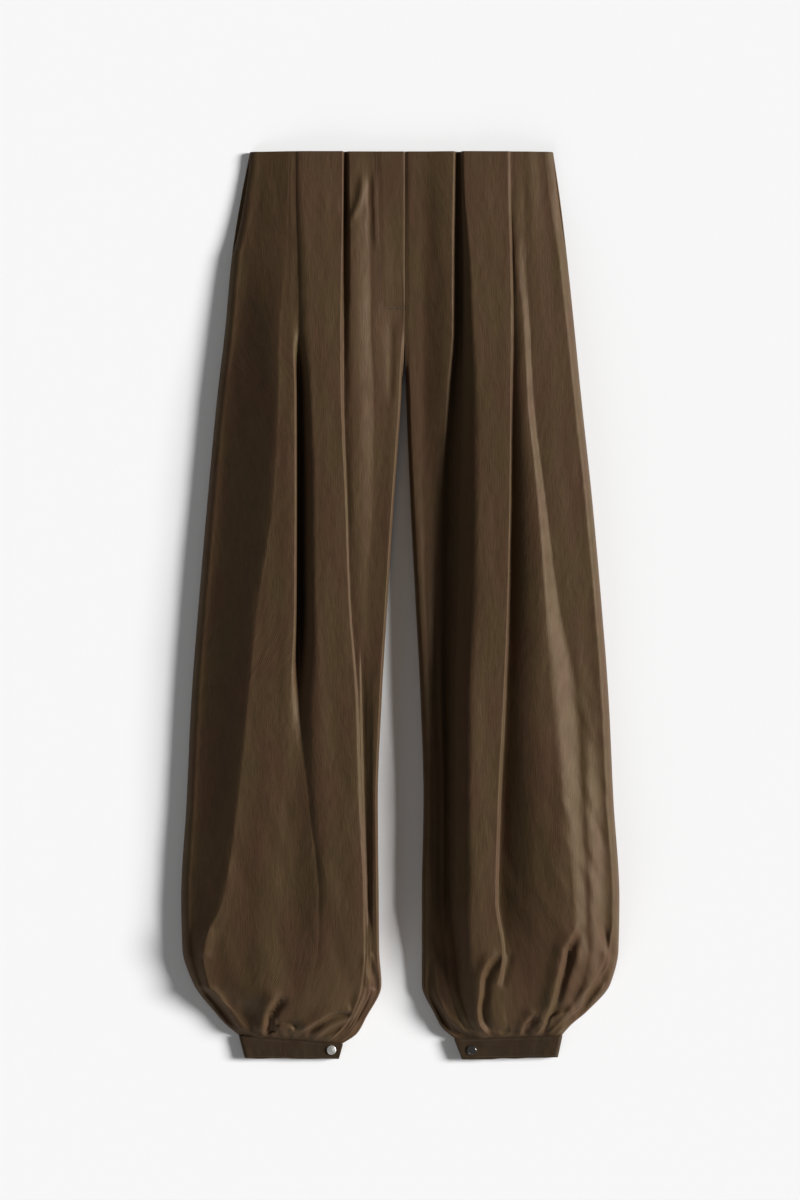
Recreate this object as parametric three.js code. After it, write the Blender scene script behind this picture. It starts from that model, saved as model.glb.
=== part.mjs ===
// Balloon trousers with box pleats at the waist and legs gathered into snapped cuffs,
// laid out flat on their back. Millimetres, +Z up: X runs across the front, +Y points
// to the waist, and Z = 0 is the surface that the back panels lie on.
import * as THREE from "three";
import { mergeVertices } from "three/addons/utils/BufferGeometryUtils.js";

// Driving dimensions
const LENGTH = 1060; // waist edge to the hem of the cuffs
const CUFF_DROP = 24; // height of a cuff
const CLOTH = 1.6; // thickness of a panel's wall
const SEAM_GAP = 0.3; // between two pieces at a seam
const SEAM_HEIGHT = 2.6; // the side seam and inseam run at this height on the rounded edges
const EDGE_ROLL = 11; // from the outline in to the top of the rounded edge
const ROLL_SHARE = 0.45; // but no further than this share of the way to the next fold line
const INNER_ROLL = { waist: 4, left: 2.5, right: 5.5 }; // the same along centre seam and inseams
const SEAM_RISE = 0.55; // share of its height over which a panel's edge stands upright
const CROTCH = 246; // from the waist edge down to the crotch
const CROTCH_BLEND = 44; // the centre seam turns into the inseams over this length
const FOLD_RADIUS = 2.4; // no fold of a panel is tighter than this
const GATHER_REACH = 0.032; // half the width of a small gather, as a share of the edge
const GATHER_SPREAD = 0.5; // it widens by this share of that at its far end
const GATHER_ONSET = 0.3; // it reaches its height over this share of its length
const STEEP_SHARE = 0.6; // a fold's steep side against the reach of its soft side
const EDGE_COLUMNS = 4; // folds and gathers die out over this many columns at an edge
const FOLD_FADE = 0.3; // a fold dies out over this share of its length at each end
const BACK_ROLL = 3; // radius of the back panels' rounded edges
const BACK_ROLL_LEAST = 0.6; // share of that radius left where the seam lies on the surface
const BACK_STEPS = 2; // along a quarter round of the back
const LEAN_FROM = 960; // below this the leg turns to follow the cuff's slanting edge
const WAIST_Y = LENGTH / 2;
const QUARTERS = [0, 0.25, 0.5, 0.75, 1];

const CUFF_CLOTH = 1.8; // a cuff's wall: two layers of cloth and a stiffener
const CUFF_HEIGHT = 9.4; // a flattened cuff, from the surface up
const CUFF_WIDTH = 116; // halfway down a flattened cuff
const CUFF_LAP = 22; // the under end of a cuff's band lies this far under the outer end
const CUFF_END = 0.4; // the outer end stops this far short of the fold under it
const CUFF_TURN_STEPS = 6; // along the half circle of a cuff's fold
const SNAP_DIAMETER = 11;
const SNAP_RISE = 1.7;
const SNAP_EDGE = 0.3; // the small bevel round its foot
const SNAP_SIDES = 16;
const SNAPS = [
  { side: "left", across: -80.5, down: 1049.5 },
  { side: "right", across: 83.5, down: 1049.5 },
];

// The fly narrows a little towards its foot and has a round lower corner; `gap` is the
// space between it and the front that it lies on.
const FLY = { top: 35, foot: 29, length: 184, corner: 13, cloth: 1, gap: 0.4 };
const FLY_ROWS = { first: 1, second: 20, step: 22, cornerStep: 3 };

const POCKET = { top: 8, length: 108, depth: 20, cloth: 1, lift: 2.6, inset: 0.9 };
const POCKET_ROWS = [0.12, 0.3, 0.5, 0.7, 0.88]; // shares of a pocket's length
const POCKET_INSET = { left: 4.5, right: 2.2 }; // the front's edge lies this far inside the back's

// The sections of each leg's front, from the left edge to the right edge. `down` is
// measured from the waist edge; each fold line has its place across, then its height.
const LEFT_LINES = [
  "side", "roll", "ridge", "dome", "valley", "stripLeft", "stripRight", "gap", "pleat",
  "crease", "edge", "inseam",
];
const LEFT_ACROSS = [
  // down side ridge dome valley stripLeft stripRight gap pleat crease inseam
  [0, -176, -130, -127, -122.5, -115, -68, -64.5, -59, -36, 5.2],
  [54, -186.5, -131, -127, -122, -113, -68, -64.5, -58.5, -35, 5.2],
  [125, -197.5, -133, -126, -120, -107, -69, -65, -57, -34, 5.2],
  [207, -205, -140, -126, -118, -104, -70, -65.5, -57, -33, 5.2],
  [288, -214.5, -141, -123, -118, -101, -69.5, -65, -55, -30, 1.2],
  [405, -225.5, -147, -122.5, -118, -97, -65, -61, -53, -31, -7],
  [522, -235.5, -164, -123, -118, -96, -61, -57, -50, -38, -14.5],
  [640, -244.5, -176, -129, -117, -88, -53, -47.5, -44, -38, -21.5],
  [757, -250, -188, -136, -107, -78, -50, -43, -40.5, -37, -26],
  [873, -256.5, -206, -140, -95, -72, -44, -39, -37, -34.5, -25],
  [932, -255, -229, -150, -96, -72, -44, -39, -36, -33.5, -24.5],
  [973, -242, -222, -152, -108, -82, -48, -42, -37, -33, -21.8],
  [1008, -217, -192, -142, -118, -94, -62, -56, -52, -49, -40],
  [1024, -203, -181, -146, -125, -103, -76, -69, -65, -61.5, -50],
  [1036, -188.5, -170, -144, -128, -110, -89, -83, -80, -77, -67.5],
];
const LEFT_HEIGHT = [
  // down roll ridge dome valley stripLeft stripRight gap pleat crease edge centre
  [0, 9, 14.5, 14.8, 15, 16.5, 16, 9, 13, 12.5, 12.5, 12.5],
  [54, 11, 18.5, 19, 19.2, 21.5, 20, 10, 18.5, 16, 15, 15],
  [125, 14.5, 26, 26.5, 26.7, 30, 29, 20, 25.5, 20.5, 18, 18],
  [207, 17, 36, 37, 36, 40, 39, 28, 31.5, 25, 21, 21],
  [288, 18, 42.5, 43.5, 20, 42, 42, 35, 37, 32, 30, 18],
  [405, 18, 45, 46.5, 14, 45, 45.5, 42.5, 43.8, 41, 41.5, 18],
  [522, 18, 44.5, 47.5, 14, 48, 48.5, 46.7, 47.2, 46.5, 48, 18],
  [640, 18, 43, 45.5, 39, 51, 51.5, 48.5, 48.7, 49.3, 51.3, 18],
  [757, 18, 40, 42.5, 46, 51.5, 52, 49, 49, 49.4, 51, 18],
  [873, 19, 35.5, 40, 46.5, 50, 50.5, 48, 48, 48.4, 49.5, 18],
  [932, 20, 28.5, 37, 41.5, 43.5, 43.5, 42, 41.5, 41, 41.5, 18],
  [973, 18, 26, 37, 39.2, 39, 36, 33.5, 32, 30, 27, 18],
  [1008, 13, 19, 29, 29.5, 29, 24.5, 21.5, 19.5, 17, 14, 18],
  [1024, 13, 17, 21.5, 22, 22, 20, 15, 14.5, 14, 12, 18],
  [1036, 9.8, 9.8, 9.8, 9.8, 9.8, 9.8, 9.8, 9.8, 9.8, 9.8, 18],
];
const RIGHT_LINES = [
  "inseam", "edge", "soft", "lip", "gap", "stripLeft", "stripRight", "slit", "crest", "foot",
  "roll", "side",
];
const RIGHT_ACROSS = [
  // down inseam soft lip gap stripLeft stripRight slit crest foot side
  [0, 5.2, 24, 62, 69, 74.5, 124, 129, 133, 147, 179],
  [54, 5.2, 24, 61, 69.5, 76.5, 125, 129.5, 133.5, 148, 187],
  [125, 5.2, 24, 60, 70.5, 83, 127.5, 131, 135.5, 148, 195.5],
  [207, 5.2, 24, 60, 70, 87, 128, 132, 143, 152, 204],
  [288, 7, 25, 53, 68, 92, 127.5, 131, 147, 156, 212],
  [405, 11.5, 28, 46, 64, 93, 126.5, 130, 158.5, 170, 224.5],
  [522, 17.5, 31, 44, 62, 92, 124, 128, 167, 185, 235],
  [640, 23.5, 36, 46, 59, 85, 119, 123.5, 175, 208, 244],
  [757, 27, 40, 49, 59, 84, 113, 118, 188, 214, 249.5],
  [873, 25, 40, 49, 59, 84, 110, 114.5, 200, 218, 256.5],
  [932, 25, 41, 52, 64, 86, 118, 122.5, 203, 220, 255.5],
  [973, 25, 43, 55, 68, 89, 113, 121, 190, 212, 246],
  [1008, 40, 55, 66, 77, 93, 116, 124, 174, 192, 218],
  [1024, 49, 63, 74, 85, 99, 120, 127, 168, 180, 200],
  [1036, 63.3, 76, 85, 95, 105.5, 121, 128, 157, 167, 189.5],
];
const RIGHT_HEIGHT = [
  // down centre edge soft lip gap stripLeft stripRight slit crest foot roll
  [0, 12.5, 12.5, 12.5, 15, 8, 16.5, 15, 13, 12.6, 11.8, 9],
  [54, 15, 15, 15, 19, 9, 21, 19.3, 16.5, 16.5, 14.8, 11.5],
  [125, 18, 17.5, 17.5, 23, 11, 28.5, 27.5, 24, 25.5, 22.5, 20],
  [207, 21, 20.5, 20.5, 27, 12, 35.5, 34.5, 31, 33.5, 29, 27],
  [288, 18, 18, 17.5, 23, 12, 39, 39, 32.5, 38, 32.5, 30.5],
  [405, 18, 19, 18, 17.5, 10, 43.5, 43.5, 30, 41, 34, 32],
  [522, 18, 21, 20, 18, 12, 48, 48, 29.5, 43.5, 33, 31.5],
  [640, 18, 23, 22, 20, 14, 51, 50.5, 29.8, 43, 29, 26.5],
  [757, 18, 23, 22, 20, 16, 52, 51, 30, 47.5, 38, 29],
  [873, 18, 22, 22, 20, 18, 51, 49.5, 31, 48.5, 42, 32],
  [932, 18, 16, 17, 18, 20, 43.5, 42.5, 35, 43, 38, 27],
  [973, 18, 13, 18, 20, 24, 36.5, 36, 35.5, 38, 31, 20],
  [1008, 18, 11, 17, 20, 24, 28, 29, 28, 28, 21, 13],
  [1024, 18, 12, 15, 17, 20, 22, 22, 21, 20, 16, 13],
  [1036, 18, 9.8, 9.8, 9.8, 9.8, 9.8, 9.8, 9.8, 9.8, 9.8, 9.8],
];

// How far a fold line's level top or floor reaches to each side, as a share of the
// distance to the next line, and how many steps the mesh takes to that next line.
const LINE_SHAPES = {
  side: { before: 0.5, after: 0.5, steps: 3 },
  roll: { before: 0.5, after: 0.2, steps: 4 },
  ridge: { before: 0.05, after: 0.3, steps: 3 },
  dome: { before: 0.3, after: 0.6, steps: 3 },
  valley: { before: 0.15, after: 0.1, steps: 4 },
  stripLeft: { before: 0.75, after: 0.35, steps: 3 },
  stripRight: { before: 0.4, after: 0.35, steps: 3 },
  gap: { before: 0.3, after: 0.15, steps: 3 },
  pleat: { before: 0.5, after: 0.5, steps: 3 },
  crease: { before: 0.15, after: 0.3, steps: 2 },
  edge: { before: 0.4, after: 0.6, steps: 3 },
  inseam: { before: 0.6, after: 0.6, steps: 3 },
  soft: { before: 0.4, after: 0.3, steps: 3 },
  lip: { before: 0.4, after: 0.4, steps: 3 },
  slit: { before: 0.3, after: 0.12, steps: 4 },
  crest: { before: 0.66, after: 0.35, steps: 4 },
  foot: { before: 0.35, after: 0.4, steps: 3 },
};

// Gathers and creases above the cuffs. Each is a ridge along a line of places (across,
// down), `rise` high and `reach` wide to each side, or less on the side where it is steep.
const LEFT_FOLDS = [
  { line: [[-235, 975], [-215, 996], [-199, 1008], [-176, 1028]], rise: 6, reach: 9, steep: "left" },
  { line: [[-134, 978], [-155, 1001], [-160, 1033]], rise: 9, reach: 15, steep: "right" },
  { line: [[-146, 990], [-139, 1008], [-141, 1030]], rise: -8, reach: 11, steep: "left" },
  { line: [[-112, 985], [-118, 1005], [-114, 1032]], rise: 5, reach: 12, steep: "right" },
  { line: [[-57, 1003], [-88, 1010], [-101, 1032]], rise: 6, reach: 10, steep: "left" },
  { line: [[-38, 969], [-49, 1002], [-76, 1024]], rise: 6, reach: 9, steep: "right" },
  { line: [[-186, 985], [-190, 1004], [-172, 1030]], rise: 5, reach: 10, steep: "left" },
];
const RIGHT_FOLDS = [
  { line: [[35, 984], [56, 1008], [80, 1030]], rise: 6, reach: 9, steep: "left" },
  { line: [[113, 932], [95, 957], [92, 1000], [101, 1032]], rise: 9, reach: 11, steep: "right" },
  { line: [[111, 960], [106, 995], [113, 1026]], rise: -7, reach: 10, steep: "left" },
  { line: [[128, 975], [128, 1005], [124, 1032]], rise: 5, reach: 10, steep: "right" },
  { line: [[164, 994], [146, 1013], [141, 1033]], rise: 6, reach: 9, steep: "right" },
  { line: [[207, 890], [186, 950], [177, 995], [158, 1032]], rise: 11, reach: 12, steep: "right" },
  { line: [[204, 950], [194, 990], [180, 1018]], rise: -7, reach: 9, steep: "left" },
  { line: [[230, 905], [234, 940], [212, 985], [196, 1013]], rise: 7, reach: 10, steep: "right" },
];

// Small gathers along each cuff's top edge: their place as a share of the edge from its
// left corner, how far up they run, and how high they stand.
const LEFT_GATHERS = [
  { share: 0.06, length: 26, rise: 3 },
  { share: 0.15, length: 20, rise: 2.5 },
  { share: 0.25, length: 34, rise: 4 },
  { share: 0.33, length: 18, rise: 2.5 },
  { share: 0.43, length: 26, rise: 3.5 },
  { share: 0.52, length: 20, rise: 3 },
  { share: 0.61, length: 30, rise: 4 },
  { share: 0.7, length: 22, rise: 3 },
  { share: 0.79, length: 30, rise: 3.5 },
  { share: 0.87, length: 20, rise: 2.5 },
  { share: 0.94, length: 24, rise: 2.5 },
];
const RIGHT_GATHERS = [
  { share: 0.07, length: 24, rise: 2.5 },
  { share: 0.16, length: 30, rise: 3.5 },
  { share: 0.25, length: 20, rise: 3 },
  { share: 0.34, length: 32, rise: 4 },
  { share: 0.43, length: 20, rise: 2.5 },
  { share: 0.52, length: 24, rise: 3 },
  { share: 0.61, length: 32, rise: 4 },
  { share: 0.7, length: 20, rise: 3 },
  { share: 0.78, length: 34, rise: 4 },
  { share: 0.86, length: 22, rise: 3 },
  { share: 0.94, length: 24, rise: 2.5 },
];

// The top and hem corners of each cuff, as distances across and down.
const LEFT_CUFF = {
  topLeft: [-189, 1033.5], topRight: [-67, 1043], hemLeft: [-182.4, 1059], hemRight: [-71.7, 1060],
};
const RIGHT_CUFF = {
  topLeft: [63, 1037], topRight: [190, 1033], hemLeft: [72, 1060], hemRight: [184.6, 1058.5],
};

const COLOURS = {
  cloth: new THREE.MeshStandardMaterial({ color: 0x4a3826, roughness: 0.78 }),
  cuff: new THREE.MeshStandardMaterial({ color: 0x3f2f20, roughness: 0.8 }),
  snap: new THREE.MeshStandardMaterial({ color: 0xb8b4ac, roughness: 0.3, metalness: 1 }),
};

const clamp = (value, low, high) => Math.min(high, Math.max(low, value));
const mix = (a, b, share) => a + (b - a) * share;
const smooth = (share) => {
  const s = clamp(share, 0, 1);
  return s * s * (3 - 2 * s);
};

// A curve through a table's column that never overshoots between two rows.
function columnCurve(rows, column) {
  const at = rows.map((row) => row[0]);
  const value = rows.map((row) => row[column]);
  const slope = at.slice(1).map((x, i) => (value[i + 1] - value[i]) / (x - at[i]));
  const tangent = value.map((_, i) => {
    if (i === 0) return slope[0];
    if (i === slope.length) return slope[i - 1];
    const [before, after] = [slope[i - 1], slope[i]];
    return before * after <= 0 ? 0 : (2 * before * after) / (before + after);
  });
  return (x) => {
    let i = at.findIndex((limit) => limit > x) - 1;
    if (i < 0) i = x < at[0] ? 0 : at.length - 2;
    const width = at[i + 1] - at[i];
    const t = clamp((x - at[i]) / width, 0, 1);
    const rest = 1 - t;
    return (
      value[i] * rest * rest * (1 + 2 * t) +
      tangent[i] * width * t * rest * rest +
      value[i + 1] * t * t * (3 - 2 * t) -
      tangent[i + 1] * width * t * t * rest
    );
  };
}

// One leg's fold lines as functions of the distance down. The tables leave out what
// follows from the rest: the tops of the rounded edges, and the height of the seams.
function makeLeg(lines, across, height, foldTable, gathers, cuff) {
  const fromSide = lines[0] === "side";
  const tabledAcross = lines.filter((line) => line !== "roll" && line !== "edge");
  const tabledHeight = lines.filter((line) => line !== "side" && line !== "inseam");
  const acrossOf = {};
  tabledAcross.forEach((line, i) => (acrossOf[line] = columnCurve(across, i + 1)));
  const heightOf = {};
  tabledHeight.forEach((line, i) => {
    heightOf[line] = columnCurve(height, i + (fromSide ? 1 : 2));
  });
  const centreHeight = columnCurve(height, fromSide ? height[0].length - 1 : 1);
  const turn = fromSide ? 1 : -1; // from the side seam in to the centre
  const inset = (down) => pocketOpening(down) * (fromSide ? POCKET_INSET.left : POCKET_INSET.right);
  const lift = (down) => pocketOpening(down) * POCKET.lift;
  const side = (down) => acrossOf.side(down);
  const split = (down) => smooth((down - CROTCH) / CROTCH_BLEND);
  const inner = (down) => acrossOf.inseam(down) - (turn * SEAM_GAP) / 2;
  const nextToRoll = acrossOf[fromSide ? "ridge" : "foot"];
  const roll = (down) => Math.min(EDGE_ROLL, Math.abs(nextToRoll(down) - side(down)) * ROLL_SHARE);
  const seam = SEAM_HEIGHT + SEAM_GAP / 2;
  const place = {
    side: (down) => [side(down) + turn * inset(down), seam + lift(down)],
    roll: (down) => [side(down) + turn * (roll(down) + inset(down)), heightOf.roll(down)],
    edge: (down) => [inner(down) - turn * edgeWidth(down), heightOf.edge(down)],
    inseam: (down) => [inner(down), mix(centreHeight(down), seam, split(down))],
  };
  const legRoll = fromSide ? INNER_ROLL.left : INNER_ROLL.right;
  const edgeWidth = (down) => mix(INNER_ROLL.waist, legRoll, split(down));
  const at = lines.map(
    (line) => place[line] ?? ((down) => [acrossOf[line](down), heightOf[line](down)]),
  );
  const folds = foldTable.map((fold) => ({
    ...fold,
    path: new THREE.SplineCurve(fold.line.map(([x, down]) => new THREE.Vector2(x, down))).getPoints(12),
  }));
  return { lines, at, split, folds, gathers, cuff, fromSide, side, inner, turn };
}

// How far the pocket's mouth is open: 0 outside it, 1 at its middle.
function pocketOpening(down) {
  const share = (down - POCKET.top) / POCKET.length;
  return share <= 0 || share >= 1 ? 0 : Math.sqrt(Math.sin(Math.PI * share));
}

// A band between two neighbouring fold lines, with level ends that roll over the folds.
function bandPoints(leg, index, down) {
  const [from, to] = [leg.lines[index], leg.lines[index + 1]];
  const [x0, z0] = leg.at[index](down);
  const [x1, z1] = leg.at[index + 1](down);
  const width = x1 - x0;
  const least = Math.sqrt((2 / 3) * Math.abs(z1 - z0) * FOLD_RADIUS);
  const reach = (share) => Math.max(width * share, Math.min(least, width));
  let start = [x0 + reach(LINE_SHAPES[from].after), z0];
  let end = [x1 - reach(LINE_SHAPES[to].before), z1];
  const upright = (line) => (line === "side" ? 1 : line === "inseam" ? leg.split(down) : 0);
  const [startUp, endUp] = [upright(from), upright(to)];
  if (startUp) start = [mix(start[0], x0, startUp), z0 + startUp * SEAM_RISE * (z1 - z0)];
  if (endUp) end = [mix(end[0], x1, endUp), z1 + endUp * SEAM_RISE * (z0 - z1)];
  const steps = LINE_SHAPES[from].steps;
  return Array.from({ length: steps }, (_, i) => {
    const t = i / steps;
    const curve = (a, b, c, d) =>
      a * (1 - t) ** 3 + 3 * b * t * (1 - t) ** 2 + 3 * c * t * t * (1 - t) + d * t ** 3;
    return [curve(x0, start[0], end[0], x1), curve(z0, start[1], end[1], z1)];
  });
}

function section(leg, down) {
  const points = [];
  for (let i = 0; i + 1 < leg.lines.length; i++) points.push(...bandPoints(leg, i, down));
  points.push(leg.at[leg.lines.length - 1](down));
  return points;
}

// The height that the small gathers add at a share of the way across a leg.
function gatherRise(leg, share, down) {
  let rise = 0;
  for (const gather of leg.gathers) {
    const up = (CUFF_TOP - down) / gather.length;
    const off = (share - gather.share) / (GATHER_REACH * (1 + GATHER_SPREAD * up));
    rise += gather.rise * smooth(up / GATHER_ONSET) * smooth(1 - up) * Math.exp(-off * off);
  }
  return rise;
}

// The height that the long folds and creases add over a place.
function foldRise(leg, x, down) {
  let rise = 0;
  for (const fold of leg.folds) {
    let nearest = { distance: Infinity };
    for (let i = 0; i + 1 < fold.path.length; i++) {
      const [a, b] = [fold.path[i], fold.path[i + 1]];
      const along = new THREE.Vector2().subVectors(b, a);
      const to = new THREE.Vector2(x - a.x, down - a.y);
      const share = clamp(to.dot(along) / along.lengthSq(), 0, 1);
      const distance = to.clone().addScaledVector(along, -share).length();
      if (distance >= nearest.distance) continue;
      const right = to.x * along.y - to.y * along.x > 0;
      nearest = { distance, right, along: (i + share) / (fold.path.length - 1) };
    }
    const steep = nearest.right === (fold.steep === "right");
    const off = nearest.distance / (fold.reach * (steep ? STEEP_SHARE : 1));
    const fade = smooth(nearest.along / FOLD_FADE) * smooth((1 - nearest.along) / FOLD_FADE);
    rise += fold.rise * fade * Math.exp(-2 * off * off);
  }
  return rise;
}

const CUFF_TOP = LENGTH - CUFF_DROP;

// The last stretch of a leg leans so that it ends along the cuff's slanting top edge.
function leanOf(leg, x, down) {
  const { topLeft, topRight } = leg.cuff;
  const share = (x - topLeft[0]) / (topRight[0] - topLeft[0]);
  const edge = mix(topLeft[1], topRight[1], clamp(share, 0, 1)) - SEAM_GAP;
  return (edge - CUFF_TOP) * smooth((down - LEAN_FROM) / (CUFF_TOP - LEAN_FROM));
}

// The rows of a panel's mesh: close together at the pockets and above the cuffs.
const ROW_STEPS = [
  { from: 0, to: 120, step: 30 },
  { from: 120, to: 900, step: 52 },
  { from: 900, to: CUFF_TOP, step: 9 },
];
const rowsOf = ({ from, to, step }) => {
  const count = Math.round((to - from) / step);
  return Array.from({ length: count }, (_, i) => mix(from, to, i / count));
};
const DOWNS = [...ROW_STEPS.flatMap(rowsOf), CUFF_TOP];

function frontGrid(leg) {
  return DOWNS.map((down) =>
    section(leg, down).map(([x, z], i, all) => {
      const inside = Math.min(i, all.length - 1 - i) / EDGE_COLUMNS;
      const share = (x - all[0][0]) / (all.at(-1)[0] - all[0][0]);
      const rise = (foldRise(leg, x, down) + gatherRise(leg, share, down)) * smooth(inside);
      return new THREE.Vector3(x, WAIST_Y - down - leanOf(leg, x, down), z + rise);
    }),
  );
}

// The back panel's section: flat on the surface, its edges rounded up to the seams.
function backGrid(leg) {
  return DOWNS.map((down) => {
    const innerHeight = mix(0, SEAM_HEIGHT - SEAM_GAP / 2, leg.split(down));
    const outer = roundedEdge(leg.side(down), leg.turn, SEAM_HEIGHT - SEAM_GAP / 2);
    const inner = roundedEdge(leg.inner(down), -leg.turn, innerHeight).reverse();
    const middle = [(outer.at(-1)[0] + inner[0][0]) / 2, 0];
    const points = [...outer, middle, ...inner];
    if (leg.turn < 0) points.reverse();
    return points.map(([x, z]) => new THREE.Vector3(x, WAIST_Y - down - leanOf(leg, x, down), z));
  });
}

// A quarter round from a seam down to the surface; it is flat where the seam is.
function roundedEdge(x, turn, height) {
  const reach = BACK_ROLL * mix(BACK_ROLL_LEAST, 1, height / SEAM_HEIGHT);
  return Array.from({ length: BACK_STEPS + 1 }, (_, i) => {
    const angle = (i / BACK_STEPS) * (Math.PI / 2);
    return [x + turn * reach * (1 - Math.cos(angle)), height * (1 - Math.sin(angle))];
  });
}

// Unit normals of a leg's grid of points, on the side that `side` (1 or -1) says. Along
// a seam they are level, so that the wall ends in a level rim, or upright at the centre.
function gridNormals(leg, grid, side) {
  const lastRow = grid.length - 1;
  const lastColumn = grid[0].length - 1;
  return grid.map((row, i) =>
    row.map((_, j) => {
      const along = new THREE.Vector3().subVectors(
        grid[Math.min(i + 1, lastRow)][j], grid[Math.max(i - 1, 0)][j],
      );
      const across = new THREE.Vector3().subVectors(
        row[Math.min(j + 1, lastColumn)], row[Math.max(j - 1, 0)],
      );
      const normal = across.cross(along).normalize().multiplyScalar(-side);
      if (i === 0 || i === lastRow) normal.setY(0);
      if (j === 0 || j === lastColumn) {
        const level = (j === 0) === leg.fromSide ? 1 : leg.split(DOWNS[i]);
        const angle = level * (Math.PI / 2);
        const outward = j === 0 ? -1 : 1;
        normal.set(outward * Math.sin(angle), 0, side * Math.cos(angle));
      }
      return normal.normalize();
    }),
  );
}

// A closed wall between a grid of outer points and a grid of inner ones. The outer
// grid's rows run down and its columns to the right when it is seen from outside.
function wall(outer, inner) {
  const rows = outer.length;
  const columns = outer[0].length;
  const positions = [...outer.flat(), ...inner.flat()].flatMap((p) => [p.x, p.y, p.z]);
  const index = [];
  const out = (i, j) => i * columns + j;
  const into = (i, j) => rows * columns + out(i, j);
  const quad = (a, b, c, d) => index.push(a, b, c, a, c, d);
  for (let i = 0; i + 1 < rows; i++)
    for (let j = 0; j + 1 < columns; j++) {
      quad(out(i, j), out(i + 1, j), out(i + 1, j + 1), out(i, j + 1));
      quad(into(i, j), into(i, j + 1), into(i + 1, j + 1), into(i + 1, j));
    }
  const last = { i: rows - 1, j: columns - 1 };
  for (let j = 0; j < last.j; j++) {
    quad(out(0, j), out(0, j + 1), into(0, j + 1), into(0, j));
    quad(out(last.i, j + 1), out(last.i, j), into(last.i, j), into(last.i, j + 1));
  }
  for (let i = 0; i < last.i; i++) {
    quad(out(i + 1, 0), out(i, 0), into(i, 0), into(i + 1, 0));
    quad(out(i, last.j), out(i + 1, last.j), into(i + 1, last.j), into(i, last.j));
  }
  const geometry = new THREE.BufferGeometry();
  geometry.setAttribute("position", new THREE.Float32BufferAttribute(positions, 3));
  geometry.setIndex(index);
  return geometry;
}

const moved = (grid, normals, distance) =>
  grid.map((row, i) => row.map((p, j) => p.clone().addScaledVector(normals[i][j], distance)));

function frontPanel(leg) {
  const outer = frontGrid(leg);
  return wall(outer, moved(outer, gridNormals(leg, outer, 1), -CLOTH));
}

function backPanel(leg) {
  const under = backGrid(leg);
  const upper = moved(under, gridNormals(leg, under, -1), -CLOTH);
  return wall(upper, under);
}

// A cuff is one band wound flat: from under its outer end round the back to that end.
function cuffBand(leg) {
  const { topLeft, topRight, hemLeft, hemRight } = leg.cuff;
  const outerEndRight = leg.fromSide; // the lap is on the inner side of the leg
  const profile = cuffProfile();
  const grids = [profile.outer, profile.inner].map((line) =>
    QUARTERS.map((share) =>
      line.map(([across, height]) => {
        const part = outerEndRight ? across : 1 - across;
        const left = [mix(topLeft[0], hemLeft[0], share), mix(topLeft[1], hemLeft[1], share)];
        const right = [mix(topRight[0], hemRight[0], share), mix(topRight[1], hemRight[1], share)];
        return new THREE.Vector3(
          mix(left[0], right[0], part), WAIST_Y - mix(left[1], right[1], part), height,
        );
      }),
    ),
  );
  if (!outerEndRight) grids.forEach((grid) => grid.forEach((row) => row.reverse()));
  return wall(grids[0], grids[1]);
}

// The cuff's section as shares across its width and heights: outer and inner lines from
// the outer end, over the front, round the far edge, along the back and under the lap.
function cuffProfile() {
  const width = CUFF_WIDTH;
  const outerEnd = width - CUFF_END;
  const radius = CUFF_HEIGHT / 2;
  const thick = CUFF_CLOTH;
  const outer = [];
  const inner = [];
  const add = (x, z, nx, nz) => {
    outer.push([x / width, z]);
    inner.push([(x - nx * thick) / width, z - nz * thick]);
  };
  for (const share of QUARTERS.slice(1)) add(mix(outerEnd, radius, share - QUARTERS[1]), CUFF_HEIGHT, 0, 1);
  for (let i = 0; i <= CUFF_TURN_STEPS; i++) {
    const angle = Math.PI / 2 + (i / CUFF_TURN_STEPS) * Math.PI;
    const cosine = Math.cos(angle);
    const sine = Math.sin(angle);
    add(radius + radius * cosine, radius + radius * sine, cosine, sine);
  }
  const lapHeight = CUFF_HEIGHT - thick - SEAM_GAP;
  const lapRadius = lapHeight / 2;
  const turnAt = outerEnd - lapRadius;
  for (const share of QUARTERS.slice(1, -1)) add(mix(radius, turnAt, share), 0, 0, -1);
  for (let i = 0; i <= CUFF_TURN_STEPS; i++) {
    const angle = -Math.PI / 2 + (i / CUFF_TURN_STEPS) * Math.PI;
    add(
      turnAt + lapRadius * Math.cos(angle), lapRadius + lapRadius * Math.sin(angle),
      Math.cos(angle), Math.sin(angle),
    );
  }
  add(width - CUFF_LAP, lapHeight, 0, 1);
  outer.reverse();
  inner.reverse();
  return { outer, inner };
}

function snapCap() {
  const radius = SNAP_DIAMETER / 2;
  const profile = new THREE.Path();
  profile.moveTo(0, 0);
  profile.lineTo(radius - SNAP_EDGE, 0);
  profile.lineTo(radius, SNAP_EDGE);
  profile.quadraticCurveTo(radius, SNAP_RISE * 0.8, radius * 0.72, SNAP_RISE * 0.94);
  profile.quadraticCurveTo(radius * 0.35, SNAP_RISE, 0, SNAP_RISE);
  const geometry = new THREE.LatheGeometry(profile.getPoints(2), SNAP_SIDES);
  geometry.rotateX(Math.PI / 2);
  return geometry;
}

// The height of a front's outer face over a place, read from its section.
function faceHeight(leg, x, down) {
  const points = section(leg, down);
  const after = points.findIndex((point) => point[0] > x);
  if (after < 1) return points.at(-1)[1];
  const [[x0, z0], [x1, z1]] = [points[after - 1], points[after]];
  return mix(z0, z1, (x - x0) / (x1 - x0));
}

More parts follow.
